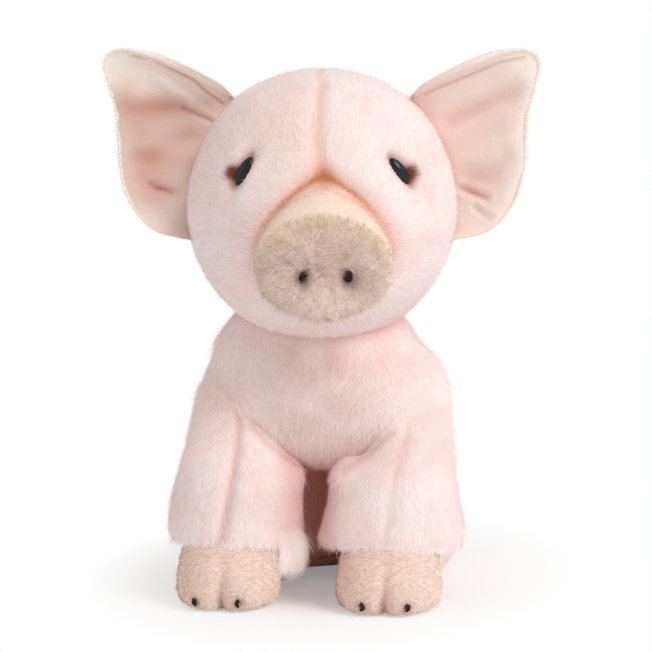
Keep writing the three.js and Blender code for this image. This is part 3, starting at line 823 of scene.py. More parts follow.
def eye_corners(root, normal):
    """Brown at each eye's outer corner, and a little all round it."""
    local = to_head(root)
    near = np.zeros(len(root))
    for name in SIDES:
        slit, across, level = eye_axes(name)
        along, aside = eye_place(local, name)
        corner = -3.7 * level - [0, 0, 1.2]
        near += 1.5 * blot(along - corner @ slit, aside - corner @ across, 2.2)
        near += 0.35 * bump(np.hypot(along / EYE_LONG, aside / EYE_WIDE) - 1, 0.3)
        near += 0.3 * blot(np.abs(along) - EYE_LONG, aside, 1.5)
    return np.clip(near, 0, 1)


def head_tint_and_brow_shade(root, normal):
    local = to_head(root)
    place = snout_place(local)
    seam = bump(seam_off(local), 1.8) * ease(0.1, 0.5, local[:, 2] / 41) * (local[:, 1] < 18)
    near = bump(fold_oval(place), 3) * (place[:, 2] > 0) * ease(-0.4, 0.7, place[:, 1] / FOLD_PEAK)
    # Painted shade: the brow a little darker just to the head's right of its middle, on its front.
    brow_painted_shade = blot((local[:, 0] + 5) / 17, (local[:, 2] - 21) / 13)
    return np.clip(0.6 * seam + 0.7 * near + 0.3 * brow_painted_shade * (local[:, 1] < 0), 0, 1)


head_marks = {"stain_and_painted_shade": eye_corners, "shade": snout_fold, "tint_and_painted_light": head_tint_and_brow_shade}

ROOT_DEPTH = 1.5  # of the long pile's roots under the form's surface
head = head_form(-ROOT_DEPTH)
soft_piece(
    ("head_plush", "head_pile"), "head", head, long_pile, "long_pile", fill=0.95,
    replaces=("head_skin", "head_stuffing"), marks=head_marks, count=120000, length=3.3, width=0.2,
    lean=70, comb=head_comb, clump=(3.0, 0.2), stray=0.25, soft=0.95, keep=head_keep,
)

# Eyes: glossy domes, half buried in the pile

DOME = [[1, -0.6], [1, 0.0], [0.95, 0.8], [0.84, 1.5], [0.65, 2.1], [0.4, 2.5], [0.15, 2.65]]
DOME_SUNK = 3.3
for name in SIDES:
    way = eye_ways[name]
    slit, across, _ = eye_axes(name)
    around = angles(40)
    circle = EYE_LONG * np.cos(around)[:, None] * slit + EYE_WIDE * np.sin(around)[:, None] * across
    foot = HEAD_RADIUS + HEAD_PILE - DOME_SUNK
    rings = [way * (foot + up) + circle * share for share, up in rows_of(DOME, 20)]
    form = Form(from_head(np.array(rings)))
    skin(f"eye_dome_{name}", "head", form, eye_plastic, replaces=(f"eye_{name}",))

# Snout: a soft band and a domed disc, in short pile

SNOUT_WIDE, SNOUT_HIGH, SNOUT_REACH = 20.8, 17.2, 48
SNOUT_SINK, SNOUT_DOME = 1.6, 6.4  # the disc's middle below the snout's, and its height
FOLD_OUT, BAND_PEAK = 35.0, 19.4  # of the fold in the face, and the band's height there
NOSTRIL_SPACING, NOSTRIL_ASIDE, NOSTRIL_RISE = 13.4, 1.2, -2.8
NOSTRIL_OUT = SNOUT_REACH + SNOUT_DOME - 4.0
NOSTRIL_OVALS = {"left": (1.9, 0.1), "right": (1.2, 0.45)}  # half width and slant
NOSTRIL_HIGH, NOSTRIL_THICK = 2.7, 1.2  # half sizes
SHORT_DEPTH = 0.7  # of the short pile's roots
DISC_ROW = 1.35


def from_snout(points):
    """Points across, up and out of the face, in the whole's frame."""
    local = (
        points[..., :1] * [1.0, 0, 0]
        + points[..., 1:2] * snout_up
        + points[..., 2:3] * snout_axis
        + [0, 0, SNOUT_RISE]
    )
    return from_head(local)


def snout_ring(wide, high, low, out, power=2.0, sides=140):
    """A ring across the snout. Its upper half is pointed when the power is under 2."""
    around = angles(sides)
    cos, sin = np.cos(around), np.sin(around)
    shape = np.where(sin > 0, 2 / power, 1)
    across = wide * signed_power(cos, shape)
    up = np.where(sin > 0, high, low) * signed_power(sin, shape)
    return np.stack([across, up, out + 0 * around], -1)


def band_form():
    """From the fold in the face out to the seam, swelling a little, and back inside."""
    rings = []
    for out in np.linspace(28, SNOUT_REACH + 0.2, 34):
        share = min(max(SNOUT_REACH - out, 0) / (SNOUT_REACH - FOLD_OUT), 1.0)
        puff = 1.3 * math.sin(math.pi * share) ** 0.8 - SHORT_DEPTH
        wide = SNOUT_WIDE + (FOLD_WIDE - 0.9 - SNOUT_WIDE) * share
        high = SNOUT_HIGH + (BAND_PEAK - SNOUT_HIGH) * share
        low = SNOUT_HIGH + (FOLD_LOW - 0.5 - SNOUT_HIGH) * share
        ring = snout_ring(wide + puff, high + puff, low + puff, out, 2 - 0.32 * share)
        rings.append(ring + [SNOUT_ASIDE, -SNOUT_SINK * (1 - share), 0])
    form = Form(np.array(rings))
    return form.moved(from_snout(form.v))


def nostril_place(points, name):
    return points - [SIDES[name] * NOSTRIL_SPACING / 2 + NOSTRIL_ASIDE, NOSTRIL_RISE, 0]


def disc_form():
    """A pillow: steep at the seam, round at its edge, with dimples for the nostrils."""
    edge = SNOUT_REACH - 0.4
    rows = [[share, 0.0] for share in np.linspace(0.05, 0.9, 8)]
    rows += [[0.96, 0.0]]
    for angle in np.linspace(0.06, 0.985, 46) * math.pi / 2:
        rows.append([math.cos(angle) ** 0.6, SNOUT_DOME * math.sin(angle) ** 0.85])
    rings = []
    for share, out in rows:
        wide, high = (SNOUT_WIDE - SHORT_DEPTH) * share, (SNOUT_HIGH - SHORT_DEPTH) * share
        ring = snout_ring(wide, high, high, edge + out, sides=170)
        rings.append(ring + [SNOUT_ASIDE, -SNOUT_SINK, 0])
    form = Form(np.array(rings))
    place = form.v.copy()
    face = place[:, 2] > edge + SNOUT_DOME * 0.4
    drop = np.zeros(len(place))
    for name in SIDES:
        off = nostril_place(place, name)
        wide, lean = (2.6, 0.0) if SIDES[name] > 0 else (2.0, 0.35)
        aside = off[:, 0] - lean * off[:, 1]
        drop += 3.4 * blot(aside / wide, off[:, 1] / 3.6, 0.9)
        drop += 1.0 * blot(off[:, 0], off[:, 1], 6.0)
    drop += 0.4 * noise(place, 6.0, 90)[:, 0] + 0.3 * noise(place, 1.9, 91)[:, 0]
    place[:, 2] -= drop * face
    return form.moved(from_snout(place))


def snout_rim_shade(root, normal):
    """The olive band along the disc's upper rim."""
    place = in_snout(root)
    wide = (place[:, 0] - SNOUT_ASIDE) / SNOUT_WIDE
    oval = np.hypot(wide, (place[:, 1] + SNOUT_SINK) / SNOUT_HIGH)
    broken = 0.75 + 0.4 * noise(root, 2.6, 17)[:, 0]
    near = 0.85 * bump((oval - 0.94) * 15, 1.7) * (place[:, 2] > SNOUT_REACH - 2)
    return np.clip(near * ease(-0.05, 0.6, place[:, 1] / SNOUT_HIGH) * broken, 0, 1)


def band_warm(root, normal):
    place = in_snout(root)
    return 0.85 * ease(SNOUT_REACH + 3.0, SNOUT_REACH - 1.5, place[:, 2])


def nostril_brown_and_painted_shade(root, normal):
    place = in_snout(root)
    near = np.zeros(len(root))
    for name in SIDES:
        off = nostril_place(place, name)
        near += blot(off[:, 0] / 1.9, off[:, 1] / 2.7, 1.1)
    # Painted shade: the disc a little darker towards the head's right side and its lower part.
    aside = 0.2 * ease(4, -15, place[:, 0]) * ease(11, 0, place[:, 1])
    return np.clip((near * 0.9 + aside) * (place[:, 2] > SNOUT_REACH), 0, 1)


snout_marks = {"shade": snout_rim_shade, "tint_and_painted_light": band_warm, "stain_and_painted_shade": nostril_brown_and_painted_shade}


def snout_comb(root, normal):
    """Outwards from between the nostrils on the disc, and out to the rim on the band."""
    place = in_snout(root)
    centre = place * [1, 1, 0] - [0, -1.0, 0]
    spread = unit(centre)
    for name in SIDES:
        off = nostril_place(place, name) * [1, 1, 0]
        spread = spread + 1.2 * bump(np.linalg.norm(off, axis=1), 3.5)[:, None] * unit(off)
    local = spread[:, :1] * [1.0, 0, 0] + spread[:, 1:2] * snout_up
    outward = snout_axis * (place[:, 2:] < SNOUT_REACH) * 1.5
    return turned(local + outward)


def band_keep(root, normal):
    place = in_snout(root)
    local = to_head(root)
    out = np.linalg.norm(local, axis=1)
    hidden = (out < head_radius(unit(local)) - 3.5) | (place[:, 2] < 30)
    return ~hidden & (turned_out(normal) < 0.9)


def disc_keep(root, normal):
    """Pile grows on the disc's front and rim, and not in the nostrils."""
    place = in_snout(root)
    free = place[:, 2] > SNOUT_REACH - 0.2
    for name in SIDES:
        off = nostril_place(place, name)
        free &= np.hypot(off[:, 0] / 1.3, off[:, 1] / 2.2) > 1
    return free


def disc_rows(root, normal):
    """The disc's pile lies in wavy rows, like towelling."""
    place = in_snout(root)
    wander = noise(root, 3.4, 92)[:, 0] + 0.6 * noise(root, 1.4, 93)[:, 0]
    return 1 + 0.4 * np.sin((place[:, 1] + 0.9 * wander) * 2 * math.pi / DISC_ROW)


def turned_out(normal):
    return normal @ head_turn @ snout_axis


band = band_form()
disc = disc_form()
skin(
    "snout_band_plush", "head", band, band_pile,
    replaces=("snout_band", "snout_stuffing"), marks=snout_marks,
)
skin(
    "snout_disc_plush", "head", disc, snout_pile, replaces=("snout_disc",),
    marks=snout_marks,
)
pile(
    "snout_band_pile", "head", band, band_pile, "short_pile", count=42000, length=2.1, width=0.2, lean=68,
    comb=snout_comb, clump=(1.4, 0.3), soft=0.85, keep=band_keep, marks=snout_marks,
)
pile(
    "snout_disc_pile", "head", disc, snout_pile, "short_pile", count=34000, length=2.1, width=0.2,
    lean=54, comb=snout_comb, clump=(2.0, 1.1), stray=0.5, soft=0.45, scale=disc_rows, keep=disc_keep,
    marks=snout_marks,
)
for name, side in SIDES.items():
    around, (wide, slant) = angles(28), NOSTRIL_OVALS[name]
    middle = [side * NOSTRIL_SPACING / 2 + NOSTRIL_ASIDE, NOSTRIL_RISE, NOSTRIL_OUT]
    rings = []
    for up in np.radians(np.linspace(-80, 80, 15)):
        level = np.cos(up)
        high = NOSTRIL_HIGH * level * np.sin(around)
        across = wide * level * np.cos(around) + slant * high
        rings.append(np.stack([across, high, 0 * around + NOSTRIL_THICK * math.sin(up)], -1) + middle)
    skin(
        f"nostril_thread_{name}", "head", Form(from_snout(np.array(rings))), dark_thread,
        replaces=(f"nostril_{name}",),
    )

# Ears

EAR_STEPS = 240
ear_edge = np.maximum(rows_of(ear_shares, EAR_STEPS + 1), [0, 0.004])  # no part has no width


def ear_point(side, out, up, back):
    """A point of an ear, out from root to edge and up from its low end to its high end."""
    at = np.clip(up, 0, 1) * EAR_STEPS
    i = np.minimum(at.astype(int), EAR_STEPS - 1)
    part = (at - i)[..., None]
    share = ear_edge[i] * (1 - part) + ear_edge[i + 1] * part
    around = EAR_LOW + (EAR_HIGH - EAR_LOW) * share[..., 0]
    root = math.sqrt((HEAD_RADIUS + EAR_ROOT_GAP) ** 2 - EAR_BACK**2)
    away = root + out * EAR_REACH * share[..., 1] - 1.7 * ease(0.14, 0.04, up)
    across = 2 * share[..., 0] - 1
    forward = out * (EAR_LEAN * out + EAR_CUP * across * across)
    return np.stack(
        [side * away * np.cos(around), EAR_BACK - forward + back, away * np.sin(around)], -1
    )


def ear_half(out, up):
    full = lambda share: np.sqrt(np.maximum(0, 1 - (2 * share - 1) ** 4))
    return (EAR_RIM + (EAR_THICK - EAR_RIM) * full(out) * full(up)) / 2


def spread_shares(count, low=0.0, high=1.0):
    """Shares from low to high, closer together at both ends."""
    at = np.linspace(0, 1, count)
    return low + (high - low) * (at - np.sin(2 * np.pi * at) / (2 * np.pi) * 0.5)


ear_folds = {  # in the photograph's pixels: path, width, depth
    "right": [
        ([(212, 121), (203, 116.5), (194, 112), (184, 108)], 2.6, 1.1),
        ([(180, 107), (158, 106), (132, 114)], 9.0, 1.0),
        ([(150, 185), (160, 189), (173, 192)], 2.4, 0.8),
        ([(142, 181), (158, 188), (178, 192)], 7.0, 0.7),
        ([(192, 140), (170, 148), (150, 162), (138, 160)], 8.0, 0.9),
        ([(160, 78), (175, 90), (192, 98), (204, 106)], 6.0, -1.0),
    ],
    "left": [
        ([(515, 92), (490, 102), (470, 112), (450, 122)], 9.0, 0.9),
        ([(505, 160), (490, 175), (470, 182)], 9.0, 0.9),
        ([(460, 188), (474, 193), (486, 198)], 3.2, 1.0),
        ([(474, 207), (482, 213), (490, 218)], 3.0, 0.8),
    ],
}


def lining_end(up):
    """How far out the lining goes, beside the rim."""
    reach = np.interp(up, *np.array(ear_shares).T)
    rim = EAR_EDGE + (EAR_TOP_EDGE - EAR_EDGE) * ease(0.74, 0.84, up)
    return np.clip(1 - rim / np.maximum(EAR_REACH * reach, 4.5), 0.25, 1)


def ear_rows(name, ups, outs_of, front_of, rear_of):
    side, rows = SIDES[name], []
    for up in ups:
        outs = outs_of(up)
        ups_here = np.full(len(outs), up)
        front = ear_point(side, outs, ups_here, front_of(outs, up))
        rear = ear_point(side, outs, ups_here, rear_of(outs, up))
        rows.append(np.concatenate([front, rear[::-1]]))
    return Form(from_head(np.array(rows)))


def ear_body(name):
    def front(outs, up):
        half = ear_half(outs, up)
        covered = ease(0, -0.07, outs - lining_end(up)) * ease(0.02, 0.06, up) * ease(1, 0.96, up)
        roll = bump((outs - lining_end(up) - 0.07) * EAR_REACH / 2.5, 1) * ease(0.7, 0.8, up)
        return np.minimum(-half * (1 - covered) + 0.5 * covered - 0.8 * roll, half - 0.9)

    return ear_rows(
        name, np.linspace(0, 1, 84), lambda up: spread_shares(26), front,
        lambda outs, up: ear_half(outs, up) - 0.4,
    )


def ear_lining(name):
    def front(outs, up):
        end = lining_end(up)
        edge = np.minimum((end - outs) * 9, np.minimum(up - 0.03, 0.975 - up) * 16)
        puff = 0.8 + 0.2 * np.sqrt(np.clip(edge, 0, 1))
        return 0.1 - (ear_half(outs, up) - 0.1) * puff

    form = ear_rows(
        name, np.linspace(0.03, 0.975, 84), lambda up: np.linspace(-0.08, lining_end(up), 34), front,
        lambda outs, up: 0 * outs + 0.35,
    )
    drop = np.zeros(len(form.v))
    front = ease(-0.1, 0.3, form.n @ view_back)
    for path, width, depth in ear_folds[name]:
        near = path_distance(pixels_of(form.v), path)
        drop += depth * bump(near, width) - 0.35 * depth * bump(near - 1.9 * width, width)
    drop += 0.3 * noise(form.v, 8.0, 31)[:, 0] + 0.12 * noise(form.v, 3.0, 32)[:, 0]
    return form.moved(form.v + np.outer(drop * front, turned(np.array([0, 1.0, 0]))))


LINE_SHADE = {"right": 0.75, "left": 0.5}
ear_lines = {  # the seam under each ear's rolled top edge, in the photograph's pixels
    "right": [(133, 56), (150, 58), (167, 67), (194, 80), (207, 92), (223, 103)],
    "left": [(425, 94), (440, 87), (470, 75), (500, 62), (525, 57)],
}
ear_painted_shade_spots = {  # where shade is painted on the lining: middle, half sizes, amount
    "right": [
        (176, 106, 24, 9, 0.5), (148, 106, 26, 14, 0.55), (121, 98, 14, 22, 0.45),
        (130, 152, 18, 44, 0.34), (155, 157, 24, 18, 0.75), (186, 150, 16, 26, 0.3),
        (150, 192, 26, 26, 0.55), (155, 124, 46, 16, 0.45), (195, 128, 16, 16, 0.25),
    ],
    "left": [(478, 174, 24, 22, 0.3), (462, 132, 34, 20, 0.08), (512, 96, 14, 12, 0.2)],
}


LOBE_PALER = {"right": 0.65, "left": 1}
ear_lobes = {"right": ((132, 206), -0.3), "left": ((455, 190), 0.36)}  # painted light below a line
ear_ridge = [(125, 74), (152, 75), (178, 88), (194, 99)]  # a pale fold of its right ear


def ear_shade(name, hollows=()):
    def amount(root, normal):
        facing = ease(0.0, 0.4, normal @ view_back)
        places = pixels_of(root)
        total = LINE_SHADE[name] * bump(path_distance(places, ear_lines[name]), 1.7)
        for x, y, wide, high, share in hollows:
            off = places - [x, y]
            total += share * blot(off[:, 0] / wide, off[:, 1] / high)
        return np.clip(facing * total, 0, 1)

    return amount


def ear_up(local):
    """The share of the way from an ear's low end to its high end, of head-frame points."""
    angle = np.arctan2(local[:, 2], np.abs(local[:, 0]))
    return (angle - EAR_LOW) / (EAR_HIGH - EAR_LOW)


def ear_pale_and_painted_light(name):
    """Paler at the tip, the outer edge, the low end and along a fold; at the low end the paleness is
    painted light against the head's shade.
    """

    def amount(root, normal):
        local = to_head(root)
        away = np.hypot(local[:, 0], local[:, 2])
        reach = np.interp(ear_up(local), *np.array(ear_shares).T) * EAR_REACH + HEAD_RADIUS
        rim = ease(7, 1.5, reach - away)
        places = pixels_of(root)
        (x, y), slope = ear_lobes[name]
        low = ease(-2, 9, places[:, 1] - y - slope * (places[:, 0] - x)) * (root[:, 2] < 132)
        ridge = bump(path_distance(places, ear_ridge), 7.5) * (name == "right")
        low *= LOBE_PALER[name]
        return np.clip(0.8 * rim + low + 0.8 * ease(70, 80, away) + 0.8 * ridge, 0, 1)

    return amount


def ear_painted_crease_shade(name):
    # Painted shade, red-brown, along the lining's folds, tapering at their ends.
    def amount(root, normal):
        total = np.zeros(len(root))
        facing = ease(0.0, 0.4, normal @ view_back)
        for (path, width, _), share in zip(ear_folds[name], (0.3, 0.15, 0.75, 0.25)):
            places, ends = pixels_of(root), np.array([path[0], path[-1]], float)
            middle, reach = ends.mean(0), np.linalg.norm(ends[1] - ends[0]) * 0.55
            taper = bump(np.linalg.norm(places - middle, axis=1), reach)
            total += share * taper * bump(path_distance(places, path), width * 0.9)
        return np.clip(total * facing, 0, 1)

    return amount


def ear_edge_short(root, normal):
    """Shorter pile round the edge, where the cloth turns, and at the low end."""
    local = to_head(root)
    edge = ease(0.3, 0.8, (normal @ head_turn * unit(local * [1, 0, 1])).sum(1))
    return (1 - 0.7 * edge) * (0.15 + 0.85 * ease(0.03, 0.15, ear_up(local)))


def lining_keep(root, normal):
    """Pile grows on the lining's front, and not where it bends into the head."""
    away = from_middle(root)
    return (normal @ view_back > -0.2) & (away > HEAD_RADIUS + HEAD_PILE + 2.6)


def ear_comb(root, normal):
    """Out from the head, and a little down."""
    return turned(unit(to_head(root) * [1, 0, 1]) + [0, 0, -0.15])


for name in SIDES:
    body = f"ear_{name}"
    back_form, lining_form = ear_body(name), ear_lining(name)
    shade = ear_shade(name, ear_painted_shade_spots[name])
    marks = {"shade": shade, "stain_and_painted_shade": ear_painted_crease_shade(name), "tint_and_painted_light": ear_pale_and_painted_light(name)}
    node = f"ear_back_{name}"
    skin(f"{body}_plush", body, back_form, ear_pile, replaces=(node,))
    skin(
        f"{body}_lining", body, lining_form, lining_pile,
        replaces=(f"ear_lining_{name}",), marks=marks,
    )
    pile(
        f"{body}_pile", body, back_form, ear_pile, "long_pile", count=30000, length=1.8, width=0.18,
        lean=72, comb=ear_comb, clump=(2.2, 0.2), stray=0.2, soft=0.95, scale=ear_edge_short,
        fuzz=0.02, marks={"shade": ear_shade(name)},
    )
    pile(
        f"{body}_lining_pile", body, lining_form, lining_pile, "lining_pile", count=20000, length=1.2,
        width=0.16, lean=66, comb=ear_comb, clump=(1.6, 0.2), soft=0.95, keep=lining_keep,
        marks=marks,
    )

# Torso

FILLET = 15.0
TORSO_MESH, LEG_MESH = (110, 200), (90, 150)  # rings, and the points of each
SKIN_FLOOR = 0.4  # the lowest that a skin goes over the floor
chest_folds = [  # path in the photograph's pixels, width, depth
    ([(252, 425), (266, 442), (283, 456), (302, 467)], 5.0, 1.8),
    ([(345, 470), (372, 452), (394, 432)], 5.0, 1.6),
    ([(322, 345), (324, 375), (321, 400)], 5.0, 0.7),
]


def torso_skin():
    form = Form(torso_form.rings(*TORSO_MESH, -ROOT_DEPTH))
    drop = np.zeros(len(form.v))
    for path, width, depth in chest_folds:
        drop += depth * seen_line(form.v, form.n, path, width)
    hollow = bump(form.v[:, 0] - 3, 13) * ease(43, 38, form.v[:, 2]) * ease(0, -14, form.v[:, 1])
    drop += 7 * hollow
    slit = path_distance(form.v, closing_path())
    drop += 1.3 * bump(slit, 2.4)
    drop += 0.5 * noise(form.v, 16.0, 40)[:, 0]
    form.push(-drop)
    fillet(form, leg_bases)
    away = form.v - HEAD_CENTRE
    far = np.linalg.norm(away, axis=1)
    seat = HEAD_RADIUS + HEAD_PILE - ROOT_DEPTH + 0.8
    near = far < seat
    points = form.v.copy()
    points[near] = HEAD_CENTRE + away[near] * (seat / far[near])[:, None]
    points[:, 2] = np.maximum(points[:, 2], SKIN_FLOOR)
    return form.moved(points)


def closing_path():
    x, y, z, _, deep = torso_form.ovals(rows_of(torso_shares[5:10], 20), 0)
    return np.stack([x, y + deep, z], 1)


def fillet(form, others):
    """Swells a skin where it meets others, high and to the outside, so that they run together."""
    share = (0.35 + 0.65 * ease(16, 26, np.abs(form.v[:, 0]))) * ease(44, 60, form.v[:, 2])
    push = np.zeros_like(form.v)
    for other in others:
        tree = BVHTree.FromPolygons(other.v.tolist(), other.tris.tolist())
        for i in np.flatnonzero(share > 0.01):
            _, normal, _, far = tree.find_nearest(Vector(form.v[i]), FILLET)
            if normal is None:
                continue
            near = 1 - far / FILLET
            way = form.n[i] * (1 - near / 2) + np.array(normal) * near / 2
            amount = near * near * share[i] * FILLET / 4
            if amount > np.linalg.norm(push[i]):
                push[i] = unit(way) * amount
    return form.moved(form.v + push)


def torso_keep(root, normal):
    near_head = from_middle(root) < HEAD_RADIUS
    hidden = near_head | ((normal[:, 2] < -0.7) & (root[:, 2] < 3))
    hidden |= (root[:, 2] < 13) & (root[:, 1] < 0) & (np.abs(root[:, 0] - 3) < 15)
    for name in SIDES:
        hidden |= leg_forms[name].holds(root, -3.5) | haunch_forms[name].holds(root, -3.5)
    return ~hidden


def torso_comb(root, normal):
    """Down, and on the chest down and inwards, with swirls."""
    chest = ease(-20, -42, root[:, 1])[:, None]
    inward = np.stack([-root[:, 0] * 0.012, 0 * root[:, 0], 0 * root[:, 0]], 1)
    return DOWN + chest * inward + (0.15 + 0.3 * chest) * noise(root, 11.0, 44)


def torso_shade(root, normal):
    """Painted shade: a deeper pink in the folds, on the chest under the chin and between the legs."""
    total = np.zeros(len(root))
    for path, width, _ in chest_folds[:2]:
        total += 0.6 * seen_line(root, normal, path, width)
    under = bump(root[:, 0], 17) * ease(45, 38, root[:, 2]) * ease(5, -8, root[:, 1])
    chest = blot(root[:, 0] / 26, (root[:, 2] - 56) / 22) * ease(-20, -38, root[:, 1])
    for place in ((290, 352), (336, 357)):
        total += 0.2 * seen_line(root, normal, [place, (place[0] + 3, place[1] + 16)], 10)
    total += 0.14 * seen_line(root, normal, [(318, 370), (400, 366)], 16)
    return np.clip(total + 0.85 * under + 0.12 * chest, 0, 1)


def chest_painted_shadow(root, normal):
    """Painted shadow of the head: the chest's pile greyer, on its front."""
    chest = blot((root[:, 0] - 1) / 21, (root[:, 2] - 60) / 26)
    return 0.5 * chest * ease(-18, -38, root[:, 1]) * (0.8 + 0.4 * noise(root, 7.0, 46)[:, 0])


def torso_painted_deep_shade(root, normal):
    """Painted shade, deep between the legs."""
    under = bump(root[:, 0] - 3, 14) * ease(43, 37, root[:, 2]) * ease(0, -10, root[:, 1])
    return 0.6 * under


torso_base = Form(torso_form.rings(*TORSO_MESH, -ROOT_DEPTH))
leg_bases = [Form(form.rings(*LEG_MESH, -ROOT_DEPTH)) for form in leg_forms.values()]
torso = torso_skin()
torso_marks = {"shade": torso_shade, "stain_and_painted_shade": torso_painted_deep_shade, "tint_and_painted_light": chest_painted_shadow}
soft_piece(
    ("torso_plush", "torso_pile"), "torso", torso, body_pile, "long_pile", fill=0.75,
    replaces=("torso_skin", "torso_stuffing", "pellet_bag"), marks=torso_marks, count=110000,
    comb=torso_comb, clump=(4.0, 0.3), stray=0.22, wisps=0.03, keep=torso_keep, **BODY_FIBRES,
)

# Front legs

leg_folds = {
    "right": [
        ([(238, 405), (240, 425), (237, 450), (230, 490), (223, 524), (220, 548)], 6.0, 2.2),
        ([(202, 470), (198, 520)], 9.0, 0.1),
    ],
    "left": [
        ([(411, 418), (402, 450), (394, 485), (389, 520), (386, 545)], 7.0, 0.8),
        ([(440, 430), (418, 455)], 8.0, 0.7),
    ],
}


LEG_FOLD_SHADE = {"right": 0.5, "left": 0.22}
HEM_DROOP = {"right": (1.2, 3.0), "left": (2.4, 2.0)}  # at the outer and inner ends


def leg_skin(name):
    form = leg_forms[name]
    rings = form.rings(*LEG_MESH, -ROOT_DEPTH)
    x, y, z, _, _ = form.ovals(form.shares[:1], -ROOT_DEPTH)
    # Inside the hem the cloth turns up over the hoof.
    inside = []
    for up, share in ((8.0, 0.3), (8.0, 0.65), (7.0, 0.84), (4.0, 0.88), (1.2, 0.92)):
        ring = rings[0].copy()
        ring[:, 0] = x[0] + (ring[:, 0] - x[0]) * share / 0.96
        ring[:, 1] = y[0] + (ring[:, 1] - y[0]) * share / 0.96
        ring[:, 2] = z[0] + up
        inside.append(ring)
    leg = Form(np.concatenate([inside, rings]))
    aside = SIDES[name] * (leg.v[:, 0] - form.x) / form.wide
    droop = np.where(aside > 0, *HEM_DROOP[name]) * aside**2
    leg.moved(leg.v - np.outer(droop * ease(36, 21, leg.v[:, 2]), [0, 0, 1.0]))
    drop = np.zeros(len(leg.v))
    for path, width, depth in leg_folds[name]:
        drop += depth * seen_line(leg.v, leg.n, path, width)
    drop += 0.6 * noise(leg.v, 14.0, 51)[:, 0] * ease(19, 30, leg.v[:, 2])
    if name == "left":  # fuller at the top of its inner side
        high = path_distance(pixels_of(leg.v), [(348, 464), (340, 476)])
        low = path_distance(pixels_of(leg.v), [(322, 500), (315, 520)])
        fuller = 2.6 * bump(high, 11) - 1.6 * bump(low, 14)
        drop -= fuller * ease(0.5, -0.3, leg.n[:, 0]) * (leg.v[:, 1] < 0)
    leg.push(-drop)
    fillet(leg, [torso_base])
    return leg


def leg_shade(name):
    def amount(root, normal):
        total = LEG_FOLD_SHADE[name] * seen_line(root, normal, leg_folds[name][0][0], 4.0)
        for path, width, _ in chest_folds[:2]:
            total += 0.4 * seen_line(root, normal, path, width * 0.8)
        total += 0.16 * seen_line(root, normal, [(258, 470), (266, 515)], 14)
        inner = ease(13, 4, SIDES[name] * root[:, 0]) * ease(62, 50, root[:, 2])
        return np.clip(total + 0.5 * inner, 0, 1)

    return amount


def leg_keep(root, normal):
    inside = (root[:, 2] < 16.5) | (normal[:, 2] < -0.75)
    hidden = torso_form.holds(root, -ROOT_DEPTH + 0.1)
    near_head = from_middle(root) < HEAD_RADIUS
    return ~(inside | hidden | near_head)


def hem_length(root, normal):
    return 1 - 0.1 * ease(28, 21, root[:, 2]) + 0.2 * noise(root, 6.0, 61)[:, 0]


def leg_lean(root, normal, lean):
    return lean + 12 * ease(32, 22, root[:, 2])


def leg_comb(root, normal):
    return DOWN * 1.2 + 0.15 * noise(root, 12.0, 64) + 0.1 * normal


TUFT_LONG = 13.0
TUFT_PIXEL, TUFT_WIDE, TUFT_END = 292, 8, 300  # across the photograph


def tuft_keep(root, normal):
    """Longer pile hangs from the hem's inner side on its right leg."""
    places = pixels_of(root)
    near = bump(places[:, 0] - TUFT_PIXEL, TUFT_WIDE) * ease(27, 24, root[:, 2]) * (root[:, 2] > 16)
    near = near * (places[:, 0] < TUFT_END)
    return near * ease(0.0, 0.3, normal @ view_back)


def tuft_comb(root, normal):
    return DOWN * 1.5 + 0.15 * noise(root, 4.0, 66)


def hoof_skin(form):
    hoof = Form(form.rings(54, 120, -SHORT_DEPTH))
    points = hoof.v.copy()
    middle = np.array([form.x, form.y])
    off = points[:, :2] - middle
    around = np.degrees(np.arctan2(off[:, 0], -off[:, 1]))  # 0 at the front
    up = points[:, 2] / form.height
    low = np.clip(1 - up * 1.25, 0, 1)
    cleft = 0.27 * low**1.3 * bump(around, 6.5)
    toes = 0.085 * low * (bump(around - 27, 15) + bump(around + 27, 15))
    scale = 1 - cleft + toes
    points[:, :2] = middle + off * scale[:, None]
    pull = np.zeros(len(points))
    for place in stitch_places(form).values():
        pull += 0.9 * bump(np.linalg.norm(points - place, axis=1), 2.0)
    hoof.moved(points)
    return hoof.push(-pull)


STITCH_TURNS = (0.9, -0.2), (-0.8, 0.2), (0.1, 0.0)  # each turn's slant and offset
STITCH_LONG, STITCH_THREAD = 1.55, 0.58  # half a turn's length, and the thread's radius
STITCH_MIDDLE = {True: 272, False: 266}  # of a hoof's two stitches, in degrees, by its side


def stitch_places(form):
    """A hoof's two stitches, beside its cleft."""
    x, y, z, wide, deep = form.ovals(rows_of(form.shares[1:3], 3)[1:2], 0)
    found = {}
    for way in (1, -1):
        around = math.radians(STITCH_MIDDLE[form.x > 0] + way * 25)
        found[way] = np.array(
            [x[0] + wide[0] * math.cos(around), y[0] + deep[0] * math.sin(around), z[0]]
        )
    return found


RIPPLE = 1.1


def not_under(root, normal):
    return normal[:, 2] > -0.75


def hoof_comb(root, normal):
    return DOWN * 0.6 + 0.5 * noise(root, 5.0, 71) + unit(np.cross(normal, DOWN)) * 0.8


def ripple(form, root):
    """From -1 to 1, in arched rows over a hoof's front."""
    wander = noise(root, 3.2, 75)[:, 0] + 0.6 * noise(root, 1.5, 76)[:, 0]
    rise = np.hypot((root[:, 0] - form.x) * 0.85, root[:, 2] + 1) + 0.9 * wander
    return np.sin(rise * 2 * math.pi / RIPPLE)


def hoof_ripples(form):
    """The short pile lies in arched rows."""
    return lambda root, normal: 1 + 0.4 * ripple(form, root)


